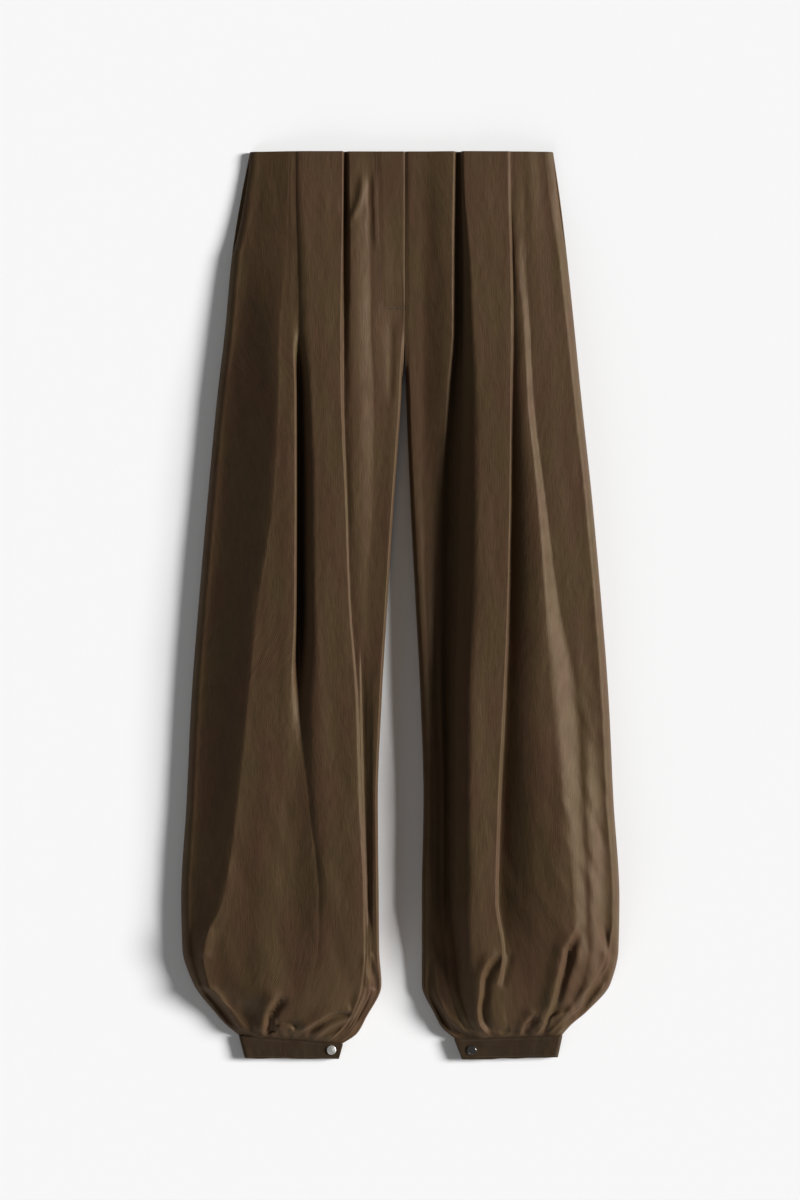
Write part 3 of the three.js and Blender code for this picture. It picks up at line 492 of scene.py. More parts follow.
    def surface(self, downs):
        """The front's outer surface as points, and how far along each row they lie."""
        xs, zs = self.section(downs)
        steps = np.hypot(np.diff(xs, axis=1), np.diff(zs, axis=1))
        along = np.concatenate([np.zeros((len(downs), 1)), np.cumsum(steps, axis=1)], axis=1)
        grain = sum(LINE_SHAPES[line][2] for line in self.lines[: self.lines.index("stripLeft")])
        along = along - along[:, grain : grain + 1]
        rows = downs[:, None] * np.ones_like(xs)
        leant = rows + self.lean(xs, rows)
        share = (xs - xs[:, :1]) / (xs[:, -1:] - xs[:, :1])
        edge = np.minimum(xs - xs[:, :1], xs[:, -1:] - xs)
        free = smooth(edge / EDGE_FADE)
        waist = smooth(rows / WAIST_FADE)
        rise = sum(fold_rise(fold, xs, leant) for fold in self.folds)
        rise = rise + self.gather_rise(share, rows)
        rise = rise + self.ripples(xs, leant) * waist
        cuff = smooth((CUFF_TOP - rows) / EDGE_FADE)
        zs = zs + rise * free * mix(CUFF_SHARE, 1, cuff)
        zs = zs - self.seam_groove(xs, rows)
        zs = zs - CUFF_DIP["depth"] * (1 - smooth((CUFF_TOP - rows) / CUFF_DIP["length"]))
        points = np.stack([xs, WAIST_Y - leant, zs], axis=-1)
        return points, along

    def ripples(self, xs, down):
        """The unevenness of RIPPLES: "low" is below the knees, "outer" the right leg's outer
        side."""
        parts = {
            "all": 1,
            "low": fade_in(down, RIPPLE_LOW),
            "outer": fade_in(xs, RIPPLE_OUTER["across"]) * fade_in(down, RIPPLE_OUTER["down"]),
        }
        rise = 0
        for i, (height, across, along, part, lean_x, lean_down) in enumerate(RIPPLES):
            seed = RIPPLE_SEED[self.name] + i
            x = xs + lean_x * down
            noise = soft_noise(x, down + lean_down * xs, across, along, seed)
            rise = rise + height * parts[part] * noise
        return rise

    def seam_groove(self, xs, down):
        """The centre seam's groove: narrow on the fly's side, wider on the other."""
        reach, depth = SEAM_GROOVE[self.name]
        off = np.abs(xs - xs[:, -1:] if self.from_side else xs - xs[:, :1]) / reach
        return depth * np.exp(-off * off) * (1 - self.split(down))


def fold_rise(fold, xs, down):
    """The height that a crease adds: soft on one side, steep with a hollow on the other."""
    path = spline(fold["line"], FOLD_STEPS)
    reach = FOLD_EXTENT * fold["soft"]
    near = (
        (xs > path[:, 0].min() - reach)
        & (xs < path[:, 0].max() + reach)
        & (down > path[:, 1].min() - reach)
        & (down < path[:, 1].max() + reach)
    )
    rise = np.zeros_like(xs)
    px = xs[near]
    py = down[near]
    best = np.full(px.shape, np.inf)
    right = np.zeros(px.shape, bool)
    place = np.zeros(px.shape)
    for i, (a, b) in enumerate(zip(path, path[1:])):
        ab = b - a
        share = np.clip(((px - a[0]) * ab[0] + (py - a[1]) * ab[1]) / (ab @ ab), 0, 1)
        dx = px - a[0] - share * ab[0]
        dy = py - a[1] - share * ab[1]
        distance = np.hypot(dx, dy)
        nearer = distance < best
        best = np.where(nearer, distance, best)
        right = np.where(nearer, dx * ab[1] - dy * ab[0] > 0, right)
        place = np.where(nearer, (i + share) / (len(path) - 1), place)
    fade = smooth(place / FOLD_FADE) * smooth((1 - place) / FOLD_FADE)
    steep = right == (fold["side"] == "right")
    off = best / np.where(steep, fold["steep"], fold["soft"])
    hollow_off = best / (HOLLOW_REACH * fold["steep"])
    hollow = hollow_off**2 * np.exp(1 - hollow_off**2)
    rise[near] = fade * (fold["rise"] * np.exp(-off * off) - steep * fold["hollow"] * hollow)
    return rise


def spline(points, steps):
    """A smooth line through a few places."""
    p = np.array(points, float)
    p = np.vstack([2 * p[0] - p[1], p, 2 * p[-1] - p[-2]])
    made = []
    for a, b, c, d in zip(p, p[1:], p[2:], p[3:]):
        for t in np.arange(steps) / steps:
            made.append(
                0.5 * (2 * b + (c - a) * t + (2 * a - 5 * b + 4 * c - d) * t**2
                       + (3 * b - a - 3 * c + d) * t**3)
            )
    made.append(p[-2])
    return np.array(made)


def grid_normals(grid):
    """Unit normals of a grid of points, up where the grid runs down and to the right."""
    down = np.gradient(grid, axis=0)
    across = np.gradient(grid, axis=1)
    normal = np.cross(down, across)
    return normal / np.linalg.norm(normal, axis=-1, keepdims=True)


def boundary(rows, columns):
    """The places of a grid's edge, once round."""
    top = [(0, j) for j in range(columns - 1)]
    right = [(i, columns - 1) for i in range(rows - 1)]
    bottom = [(rows - 1, j) for j in range(columns - 1, 0, -1)]
    left = [(i, 0) for i in range(rows - 1, 0, -1)]
    return top + right + bottom + left


def shell(name, outer, inner, uv, bulge, step=3):
    """A closed shell from a fine outer grid and a coarser inner one, with a rounded rim.
    `bulge` is how far the rim stands out past each edge point, in millimetres."""
    rows, columns = outer.shape[:2]
    loop = boundary(rows, columns)
    picked_rows = sorted(set(range(0, rows, step)) | {rows - 1})
    picked_columns = sorted(set(range(0, columns, step)) | {columns - 1})
    vertices = [outer.reshape(-1, 3)]
    maps = [uv.reshape(-1, 2)]
    index = {}
    count = rows * columns
    needed = [(i, j) for i in picked_rows for j in picked_columns]
    for place in loop + needed:
        if place in index:
            continue
        index[place] = count
        count += 1
    inner_places = np.array(list(index))
    vertices.append(inner[inner_places[:, 0], inner_places[:, 1]])
    maps.append(uv[inner_places[:, 0], inner_places[:, 1]])

    at = np.array(loop)
    inside = np.stack(
        [np.clip(at[:, 0], 1, rows - 2), np.clip(at[:, 1], 1, columns - 2)], axis=1
    )
    out_edge = outer[at[:, 0], at[:, 1]]
    in_edge = inner[at[:, 0], at[:, 1]]
    away = out_edge - outer[inside[:, 0], inside[:, 1]]
    wall = out_edge - in_edge
    wall_unit = wall / np.linalg.norm(wall, axis=1, keepdims=True)
    away = away - wall_unit * np.sum(away * wall_unit, axis=1, keepdims=True)
    away = away / np.maximum(np.linalg.norm(away, axis=1, keepdims=True), 1e-9)
    rings = [np.array([i * columns + j for i, j in loop])]
    for angle in (math.pi / 4, math.pi / 2, 3 * math.pi / 4):
        middle = (out_edge + in_edge) / 2
        outwards = away * bulge[at[:, 0], at[:, 1], None]
        ring = middle + wall / 2 * math.cos(angle) + outwards * math.sin(angle)
        vertices.append(ring)
        maps.append(uv[at[:, 0], at[:, 1]])
        rings.append(count + np.arange(len(loop)))
        count += len(loop)
    rings.append(np.array([index[place] for place in loop]))

    faces = []
    corner = np.arange(rows * columns).reshape(rows, columns)
    quads = np.stack([corner[:-1, :-1], corner[1:, :-1], corner[1:, 1:], corner[:-1, 1:]], axis=-1)
    faces.extend(quads.reshape(-1, 4).tolist())
    for one, two in zip(rings, rings[1:]):
        following = np.roll(one, -1)
        under = np.roll(two, -1)
        faces.extend(np.stack([one, following, under, two], axis=1).tolist())
    for i0, i1 in zip(picked_rows, picked_rows[1:]):
        for j0, j1 in zip(picked_columns, picked_columns[1:]):
            face = along_edge(index, (i0, j0), (i0, j1)) + along_edge(index, (i0, j1), (i1, j1))
            face += along_edge(index, (i1, j1), (i1, j0)) + along_edge(index, (i1, j0), (i0, j0))
            faces.append(face)
    return solid_mesh(name, np.concatenate(vertices) * MM, faces, np.concatenate(maps) * MM)


def along_edge(index, start, end):
    """The inner grid's points from one place towards the next, without the last one."""
    length = max(abs(end[0] - start[0]), abs(end[1] - start[1]))
    step = ((end[0] - start[0]) // length, (end[1] - start[1]) // length)
    places = [(start[0] + step[0] * k, start[1] + step[1] * k) for k in range(length)]
    return [index[place] for place in places if place in index]


def solid_mesh(name, vertices, faces, uv=None):
    """An object at the origin from points in metres, smooth, with its faces outwards."""
    mesh = bpy.data.meshes.new(name)
    mesh.from_pydata(vertices.tolist(), [], faces)
    if uv is not None:
        layer = mesh.uv_layers.new(name="cloth")
        corners = np.zeros(len(mesh.loops), dtype=np.int32)
        mesh.loops.foreach_get("vertex_index", corners)
        layer.data.foreach_set("uv", uv[corners].astype(np.float32).ravel())
    shape = bmesh.new()
    shape.from_mesh(mesh)
    bmesh.ops.recalc_face_normals(shape, faces=shape.faces)
    shape.to_mesh(mesh)
    shape.free()
    mesh.polygons.foreach_set("use_smooth", np.ones(len(mesh.polygons), dtype=bool))
    mesh.update()
    piece = bpy.data.objects.new(name, mesh)
    bpy.context.scene.collection.objects.link(piece)
    return piece


def row_places():
    upper = np.arange(0, LOW, ROW_STEP)
    lower = np.linspace(LOW, CUFF_TOP, round((CUFF_TOP - LOW) / ROW_STEP_LOW) + 1)
    return np.concatenate([upper, lower])


def panel_normals(outer):
    """A panel's unit normals; at its waist and cuff edges they stay in the edge's plane."""
    normals = grid_normals(outer)
    normals[0, :, 1] = 0
    normals[-1, :, 1] = 0
    return normals / np.linalg.norm(normals, axis=-1, keepdims=True)


def front_panel(leg):
    downs = row_places()
    outer, along = leg.surface(downs)
    normals = panel_normals(outer)
    turned = 1 - fade_in(downs, (WAIST_TURN, WAIST_TURN_BLEND))
    thick = mix(CLOTH, WAIST_EDGE, turned)[:, None, None]
    inner = outer - normals * thick
    bulge = np.full(outer.shape[:2], SEAM_BULGE)
    bulge[0, :] = WAIST_EDGE / 2
    uv = np.stack([along, np.broadcast_to(-downs[:, None], along.shape)], axis=-1)
    return shell(f"front_panel_{leg.name}", outer, inner, uv, bulge)


BACK_CREASES = {
    "left": [
        (1.3, 0, 12, 7, "right", [(-150, 40), (-140, 200), (-160, 420), (-150, 640)]),
        (1.1, 0, 9, 6, "left", [(-60, 60), (-75, 260), (-70, 520)]),
        (1.4, 0, 10, 8, "right", [(-200, 560), (-205, 760), (-185, 940)]),
        (1.4, 0, 8, 5, "left", [(-90, 640), (-80, 840), (-105, 1010)]),
        (1.5, 0, 7, 5, "left", [(-140, 860), (-135, 960), (-128, 1028)]),
    ],
    "right": [
        (1.2, 0, 10, 7, "left", [(70, 50), (82, 230), (72, 470)]),
        (1.4, 0, 12, 6, "right", [(150, 90), (158, 300), (176, 520)]),
        (1.3, 0, 9, 7, "right", [(100, 560), (92, 760), (112, 930)]),
        (1.5, 0, 9, 6, "left", [(205, 640), (210, 820), (180, 1000)]),
        (1.4, 0, 7, 5, "left", [(135, 880), (132, 970), (126, 1030)]),
    ],
}


def rounded_edge(x, turn, height, steps):
    """A quarter round from a seam down to the surface; it is flat where the seam is."""
    reach = mix(BACK_ROLL_LEAST * BACK_ROLL, BACK_ROLL, height / SEAM_HEIGHT)
    angle = (np.arange(steps + 1) / steps) * (math.pi / 2)
    xs = x[:, None] + turn * reach[:, None] * (1 - np.cos(angle))
    return xs, height[:, None] * (1 - np.sin(angle))


def back_panel(leg):
    downs = np.linspace(0, CUFF_TOP, BACK_GRID["rows"])
    seam = SEAM_HEIGHT - SEAM_GAP / 2
    steps = BACK_GRID["round"]
    side_x, side_z = rounded_edge(leg.side(downs), leg.turn, np.full(len(downs), seam), steps)
    inner_x, inner_z = rounded_edge(leg.inner(downs), -leg.turn, seam * leg.split(downs), steps)
    share = np.linspace(0, 1, BACK_GRID["columns"])[None, 1:-1]
    middle_x = mix(side_x[:, -1:], inner_x[:, -1:], share)
    xs = np.concatenate([side_x, middle_x, inner_x[:, ::-1]], axis=1)
    zs = np.concatenate([side_z, np.zeros_like(middle_x), inner_z[:, ::-1]], axis=1)
    if leg.turn < 0:
        xs = xs[:, ::-1]
        zs = zs[:, ::-1]
    rows = downs[:, None] * np.ones_like(xs)
    edge = np.minimum(xs - xs[:, :1], xs[:, -1:] - xs)
    free = smooth((edge - BACK_ROLL) / BACK_FADE["side"]) * smooth(rows / BACK_FADE["waist"])
    free = free * smooth((CUFF_TOP - rows) / BACK_FADE["cuff"])
    creases = sum(fold_rise(fold, xs, rows) for fold in named_folds(BACK_CREASES[leg.name]))
    height, across, along = BACK_WAVES
    waves = height * np.maximum(soft_noise(xs, rows, across, along, BACK_SEED[leg.name]), 0)
    zs = zs + np.maximum(creases + waves, 0) * free
    outer = np.stack([xs, WAIST_Y - rows - leg.lean(xs, rows), zs], axis=-1)
    inner = outer + panel_normals(outer) * CLOTH
    bulge = np.full(outer.shape[:2], SEAM_BULGE)
    bulge[0, :] = CLOTH / 2
    uv = np.stack([xs, -rows], axis=-1)
    return shell(f"back_panel_{leg.name}", outer, inner, uv, bulge)


def height_over(leg, xs, downs):
    """The height of a leg's front over rows of places."""
    points, along = leg.surface(downs)
    heights = [np.interp(x, row[:, 0], row[:, 2]) for x, row in zip(xs, points)]
    distances = [np.interp(x, row[:, 0], a) for x, row, a in zip(xs, points, along)]
    return np.array(heights), np.array(distances)


def fly_width(down):
    """From the centre seam out to the fly's J-shaped edge."""
    straight = mix(FLY["top"], FLY["low"], np.clip(down / FLY["length"], 0, 1))
    round_share = np.clip((down - FLY["length"] + FLY["corner"]) / FLY["corner"], 0, 1)
    return straight - FLY["corner"] * (1 - np.sqrt(1 - round_share**2))


def fly_panel(leg):
    length = FLY["length"]
    foot = length - FLY_GRID["foot"]
    foot_rows = np.linspace(foot, length, FLY_GRID["foot_rows"])
    downs = np.concatenate([np.arange(0, foot, FLY_GRID["row"]), foot_rows])
    width = fly_width(downs)[:, None]
    share = 1 - np.linspace(0, 1, FLY_GRID["columns"])[None, :] ** FLY_GRID["crowding"]
    right = leg.inner(downs)[:, None]
    xs = right - width * share
    heights, along = height_over(leg, xs, downs)
    from_edge = np.minimum((xs - xs[:, :1]), (length - downs)[:, None])
    lift = mix(FLY["edge"], FLY["centre"], smooth(from_edge / FLY_SLOPE))
    rows = downs[:, None] * np.ones_like(xs)
    outer = np.stack([xs, WAIST_Y - rows, heights + lift], axis=-1)
    inner = outer - np.array([0, 0, 1]) * (lift - FLY_CLEARANCE)[..., None]
    bulge = np.full(outer.shape[:2], RIM["fly"])
    uv = np.stack([along, -rows], axis=-1)
    return shell("fly_panel", outer, inner, uv, bulge, step=2)


def pocket_panel(leg):
    shares = np.linspace(POCKET_GRID["start"], POCKET_GRID["end"], POCKET_GRID["rows"])
    downs = POCKET["top"] + POCKET["length"] * shares
    reach = np.linspace(POCKET_GRID["first"], POCKET["depth"], POCKET_GRID["columns"])[None, :]
    xs = leg.side(downs)[:, None] + leg.turn * reach
    if leg.turn < 0:
        xs = xs[:, ::-1]
    rows = downs[:, None] * np.ones_like(xs)
    wave, across, along = POCKET_WAVES
    bumps = wave * soft_noise(xs, rows, across, along, POCKET_SEED)
    height = SEAM_HEIGHT + POCKET["rise"] + bumps
    outer = np.stack([xs, WAIST_Y - rows, height], axis=-1)
    inner = outer - np.array([0, 0, POCKET["cloth"]])
    bulge = np.full(outer.shape[:2], RIM["pocket"])
    uv = np.stack([xs, -rows], axis=-1)
    return shell(f"pocket_bearer_{leg.name}", outer, inner, uv, bulge)


def half_circle(centre, radius, start):
    """Points round a half circle, after its first: across, up, and the normal."""
    points = []
    for angle in start + np.linspace(0, 1, CUFF_POINTS["turn"])[1:] * math.pi:
        c = math.cos(angle)
        s = math.sin(angle)
        points.append((centre + radius * c, radius + radius * s, c, s))
    return points


def cuff_profile():
    """The cuff's section from the outer end over the front, round the far edge, along the
    back and under the lap: shares across its width, heights, and unit normals."""
    radius = CUFF_HEIGHT / 2
    lap_height = CUFF_HEIGHT - CUFF_CLOTH - 2 * SEAM_GAP
    lap_radius = lap_height / 2
    end = CUFF_WIDTH - CUFF_END
    turn_at = end - lap_radius
    lap_end = CUFF_WIDTH - CUFF_LAP
    points = [(x, CUFF_HEIGHT, 0, 1) for x in np.linspace(end, radius, CUFF_POINTS["front"])]
    points += half_circle(radius, radius, math.pi / 2)
    points += [(x, 0, 0, -1) for x in np.linspace(radius, turn_at, CUFF_POINTS["back"])[1:]]
    points += half_circle(turn_at, lap_radius, -math.pi / 2)
    lap = np.linspace(turn_at, lap_end, CUFF_POINTS["lap"])[1:]
    points += [(x, lap_height, 0, 1) for x in lap]
    line = np.array(points)
    line[:, 0] /= CUFF_WIDTH
    return line


def cuff_places(leg, shares, across):
    """Places on a cuff at shares of its height, from the top, and of its width."""
    corners = {name: np.array(place, float) for name, place in leg.cuff.items()}
    left = mix(corners["topLeft"], corners["hemLeft"], shares[:, None])
    right = mix(corners["topRight"], corners["hemRight"], shares[:, None])
    return mix(left[:, None, :], right[:, None, :], across[None, :, None])


def snap_pull(xs, downs):
    """A faint ridge across the right cuff, pulled from its snap."""
    off = (downs - PULL["down"] + PULL["slope"] * (xs - PULL["across"])) / PULL["width"]
    (start, start_fade), (end, end_fade) = PULL_ENDS
    ridge = PULL["rise"] * np.exp(-(off**2)) * smooth((xs - start) / start_fade)
    return ridge * smooth((end - xs) / end_fade)


def cuff_band(leg):
    line = cuff_profile()
    shares = np.linspace(0, 1, CUFF_ROWS)
    across = line[:, 0] if leg.from_side else 1 - line[:, 0]
    place = cuff_places(leg, shares, across)
    xs = place[..., 0]
    downs = place[..., 1]
    seed = CUFF_SEED[leg.name]
    hem = smooth((shares[:, None] - CUFF_HEM_FROM) / (1 - CUFF_HEM_FROM))
    height, size, along = CUFF_HEM_WAVE
    downs = downs + hem * height * soft_noise(xs, np.zeros_like(xs), size, along, seed)
    front = np.broadcast_to((line[:, 3] > 0.5) & (line[:, 1] > 0.9 * CUFF_HEIGHT), xs.shape)
    waves = 0
    for i, (height, size, along) in enumerate(CUFF_WAVES):
        waves = waves + height * soft_noise(xs, downs, size, along, seed + 1 + i)
    if leg.name == "right":
        waves = waves + snap_pull(xs, downs)
    zs = line[None, :, 1] + front * waves
    outer = np.stack([xs, WAIST_Y - downs, zs], axis=-1)
    sign = 1 if leg.from_side else -1
    normal = np.stack([sign * line[:, 2], np.zeros(len(line)), line[:, 3]], axis=-1)[None]
    inner = outer - normal * CUFF_CLOTH
    uv = np.stack([np.broadcast_to(line[None, :, 0] * CUFF_WIDTH, xs.shape), -downs], axis=-1)
    bulge = np.full(xs.shape, RIM["cuff"])
    bulge[0, :] = SEAM_BULGE
    return shell(f"cuff_band_{leg.name}", outer, inner, uv, bulge, step=2)


def snap_cap(name, across, down, profile):
    """A domed metal cap turned round its middle, on top of the cuff."""
    base = CUFF_HEIGHT + SEAM_GAP
    centre = (across, WAIST_Y - down)
    vertices = [(centre[0], centre[1], base + profile[0][1])]
    for radius, height in profile[1:]:
        for i in range(SNAP_SIDES):
            angle = 2 * math.pi * i / SNAP_SIDES
            x = centre[0] + radius * math.cos(angle)
            vertices.append((x, centre[1] + radius * math.sin(angle), base + height))
    vertices.append((centre[0], centre[1], base))
    faces = []
    for i in range(SNAP_SIDES):
        after = (i + 1) % SNAP_SIDES
        faces.append((0, 1 + i, 1 + after))
        for ring in range(len(profile) - 2):
            low = 1 + ring * SNAP_SIDES
            faces.append((low + i, low + SNAP_SIDES + i, low + SNAP_SIDES + after, low + after))
        last = 1 + (len(profile) - 2) * SNAP_SIDES
        faces.append((last + i, len(vertices) - 1, last + after))
    return solid_mesh(name, np.array(vertices) * MM, faces)


def cap_profile(rings):
    """Radius and height from the middle out: a low dome, its rings, and a rolled edge."""
    radius = SNAP_DIAMETER / 2
    points = []
    for share in np.linspace(0, SNAP_TOP, 20):
        height = SNAP_RISE * (1 - SNAP_DOME * share**2)
        for place, depth in SNAP_RINGS:
            off = (share - place) / SNAP_RING_WIDTH
            height -= rings * depth * math.exp(-(off**2))
        points.append((radius * share, height))
    top = points[-1][1]
    for angle in np.linspace(0, math.pi / 2, 7)[1:]:
        reach = SNAP_TOP + (1 - SNAP_TOP) * math.sin(angle)
        height = top * (SNAP_EDGE + (1 - SNAP_EDGE) * math.cos(angle))
        points.append((radius * reach, height))
    points.append((radius * SNAP_FOOT, 0))
    return points


class Field:
    """One output of a material's nodes; arithmetic on it adds Math nodes."""

    def __init__(self, finish, socket):
        self.finish = finish
        self.socket = socket

    def math(self, operation, first, second):
        return self.finish.node("ShaderNodeMath", {"operation": operation}, {0: first, 1: second})

    def __add__(self, other):
        return self.math("ADD", self, other)

    def __radd__(self, other):
        return self.math("ADD", other, self)

    def __sub__(self, other):
        return self.math("SUBTRACT", self, other)

    def __rsub__(self, other):
        return self.math("SUBTRACT", other, self)

    def __mul__(self, other):
        return self.math("MULTIPLY", self, other)

    def __rmul__(self, other):
        return self.math("MULTIPLY", other, self)


class Finish:
    """A material whose nodes are all added by one method."""

    def __init__(self, name):
        self.material = bpy.data.materials.new(name)
        self.material.use_nodes = True
        self.tree = self.material.node_tree
        self.tree.nodes.clear()

    def node(self, kind, settings=None, sockets=None, output=0):
        """Adds a node: its settings first, then values or links; returns one output."""
        made = self.tree.nodes.new(kind)
        for name, value in (settings or {}).items():
            setattr(made, name, value)
        for name, value in (sockets or {}).items():
            if isinstance(value, Field):
                self.tree.links.new(value.socket, made.inputs[name])
            else:
                made.inputs[name].default_value = value
        return Field(self, made.outputs[output]) if made.outputs else made

    def vector(self, operation, first, second):
        settings = {"operation": operation}
        return self.node("ShaderNodeVectorMath", settings, {0: first, 1: second})

    def noise(self, place, scale, detail=2.0, roughness=0.5):
        sockets = {"Vector": place, "Scale": scale, "Detail": detail, "Roughness": roughness}
        return self.node("ShaderNodeTexNoise", {"noise_dimensions": "3D"}, sockets)

    def mix_colour(self, share, first, second):
        settings = {"data_type": "RGBA"}
        return self.node("ShaderNodeMix", settings, {0: share, 6: first, 7: second}, output=2)

    def surface(self, sockets):
        shader = self.node("ShaderNodeBsdfPrincipled", {}, sockets)
        self.node("ShaderNodeOutputMaterial", {}, {"Surface": shader})
        return self.material


def cloth_finish(name, olive, brown, deep):
    """Fluid washed twill: softly mottled olive and brown, slubs, and a soft lustre."""
    finish = Finish(name)
    place = finish.node("ShaderNodeUVMap", {"uv_map": "cloth"})
    patches = finish.noise(finish.vector("MULTIPLY", place, (1, 0.3, 1)), 30, detail=3)
    patches = finish.node(
        "ShaderNodeMapRange", {"interpolation_type": "SMOOTHSTEP"},
        {"Value": patches, "From Min": 0.3, "From Max": 0.7},
    )
    slubs = finish.noise(finish.vector("MULTIPLY", place, (1, 0.05, 1)), 900, detail=1)
    shorter = finish.vector("MULTIPLY", place, (1, 0.6, 1))
    bloom = finish.noise(shorter, 62, detail=5, roughness=0.6)
    base = finish.mix_colour(patches, (*olive, 1), (*brown, 1))
    base = finish.mix_colour((slubs - 0.4) * 1.1, base, (*deep, 1))
    base = finish.mix_colour((bloom - 0.5) * 1.5, base, (*deep, 1))
    longer = finish.vector("MULTIPLY", place, (1, 0.4, 1))
    crinkle = finish.noise(longer, 150, detail=4, roughness=0.6)
    twill = finish.node(
        "ShaderNodeTexWave", {"wave_type": "BANDS", "bands_direction": "DIAGONAL"},
        {"Vector": place, "Scale": 240.0, "Distortion": 0.6, "Detail": 1.0},
        output=1,
    )
    relief = crinkle + slubs * 0.3 + twill * 0.12
    bump = finish.node("ShaderNodeBump", {}, {
        "Strength": 0.7, "Distance": 0.0009, "Height": relief,
    })
    return finish.surface({
        "Base Color": base,
        "Roughness": bloom * 0.24 + 0.44,
        "Normal": bump,
        "Specular IOR Level": 0.2,
        "Specular Tint": (1.0, 0.86, 0.62, 1),
        "Sheen Weight": 0.1,
        "Sheen Roughness": 0.45,
        "Sheen Tint": (0.9, 0.72, 0.5, 1),
    })


def thread_finish(name, light, dark):
    finish = Finish(name)
    place = finish.node("ShaderNodeTexCoord", {}, {}, output="Object")
    fibre = finish.noise(place, 2600, detail=2)
    base = finish.mix_colour(fibre, (*dark, 1), (*light, 1))
    bump = finish.node("ShaderNodeBump", {}, {"Strength": 0.4, "Distance": 0.0001, "Height": fibre})
    return finish.surface({
        "Base Color": base, "Roughness": fibre * 0.2 + 0.45, "Normal": bump,
        "Sheen Weight": 0.2, "Sheen Roughness": 0.4,
    })


def metal_finish(name, centre, colour, roughness, rings):
    """Turned metal: faint rings round the cap's middle and fine brushing."""
    finish = Finish(name)
    place = finish.node("ShaderNodeTexCoord", {}, {}, output="Object")
    centred = finish.node("ShaderNodeMapping", {"vector_type": "POINT"}, {
        "Vector": place, "Location": [-part for part in centre],
    })
    turned = finish.node(
        "ShaderNodeTexWave", {"wave_type": "RINGS", "rings_direction": "Z"},
        {"Vector": centred, "Scale": 420.0, "Distortion": 0.4, "Detail": 1.0},
        output=1,
    )
    brushed = finish.noise(centred, 3000, detail=2)
    dull = finish.noise(centred, 500, detail=3)
    bump = finish.node("ShaderNodeBump", {}, {
        "Strength": rings, "Distance": 0.00006, "Height": turned + brushed * 0.3,
    })
    base = finish.mix_colour(dull, (*colour, 1), tuple(0.82 * part for part in colour) + (1,))
    return finish.surface({
        "Base Color": base, "Metallic": 1.0, "Roughness": dull * 0.1 + roughness, "Normal": bump,
    })


def floor_finish():
    finish = Finish("pale_floor")
    return finish.surface({
        "Base Color": (0.9, 0.9, 0.9, 1), "Roughness": 0.9, "Specular IOR Level": 0.0,
    })


def stitch_tree():
    """Stitches along a line: a small rounded thread laid at even steps."""
    tree = bpy.data.node_groups.new("stitch_row", "GeometryNodeTree")
    tree.interface.new_socket("Line", in_out="INPUT", socket_type="NodeSocketGeometry")
    for name in ("Step", "Stitch", "Thread"):
        tree.interface.new_socket(name, in_out="INPUT", socket_type="NodeSocketFloat")
    tree.interface.new_socket("Finish", in_out="INPUT", socket_type="NodeSocketMaterial")
    tree.interface.new_socket("Seed", in_out="INPUT", socket_type="NodeSocketInt")
    tree.interface.new_socket("Stitches", in_out="OUTPUT", socket_type="NodeSocketGeometry")
    add = tree.nodes.new
    given = add("NodeGroupInput")
    made = add("NodeGroupOutput")
    curve = add("GeometryNodeMeshToCurve")
    points = add("GeometryNodeCurveToPoints")
    points.mode = "LENGTH"
    bead = add("GeometryNodeMeshUVSphere")
    bead.inputs["Segments"].default_value = 8
    bead.inputs["Rings"].default_value = 6
    bead.inputs["Radius"].default_value = 0.5
    size = add("ShaderNodeCombineXYZ")
    wander = add("FunctionNodeRandomValue")
    wander.data_type = "FLOAT"
    wander.inputs["Min"].default_value = 0.86
    wander.inputs["Max"].default_value = 1.08
    longer = add("ShaderNodeMath")
    longer.operation = "MULTIPLY"
    place = add("GeometryNodeInstanceOnPoints")
    realize = add("GeometryNodeRealizeInstances")
    smooth_shade = add("GeometryNodeSetShadeSmooth")
    finish = add("GeometryNodeSetMaterial")
    for source, output, target, socket in (
        (given, "Line", curve, "Mesh"),
        (curve, "Curve", points, "Curve"),
        (given, "Step", points, "Length"),
        (given, "Seed", wander, "Seed"),
        (given, "Stitch", longer, 0),
        (wander, "Value", longer, 1),
        (given, "Thread", size, "X"),
        (given, "Thread", size, "Y"),
        (longer, 0, size, "Z"),
        (points, "Points", place, "Points"),
        (points, "Rotation", place, "Rotation"),
        (bead, "Mesh", place, "Instance"),
        (size, "Vector", place, "Scale"),
        (place, "Instances", realize, "Geometry"),
        (realize, "Geometry", smooth_shade, "Geometry"),
        (smooth_shade, "Geometry", finish, "Geometry"),
        (given, "Finish", finish, "Material"),
        (finish, "Geometry", made, "Stitches"),
    ):
        tree.links.new(source.outputs[output], target.inputs[socket])
    return tree


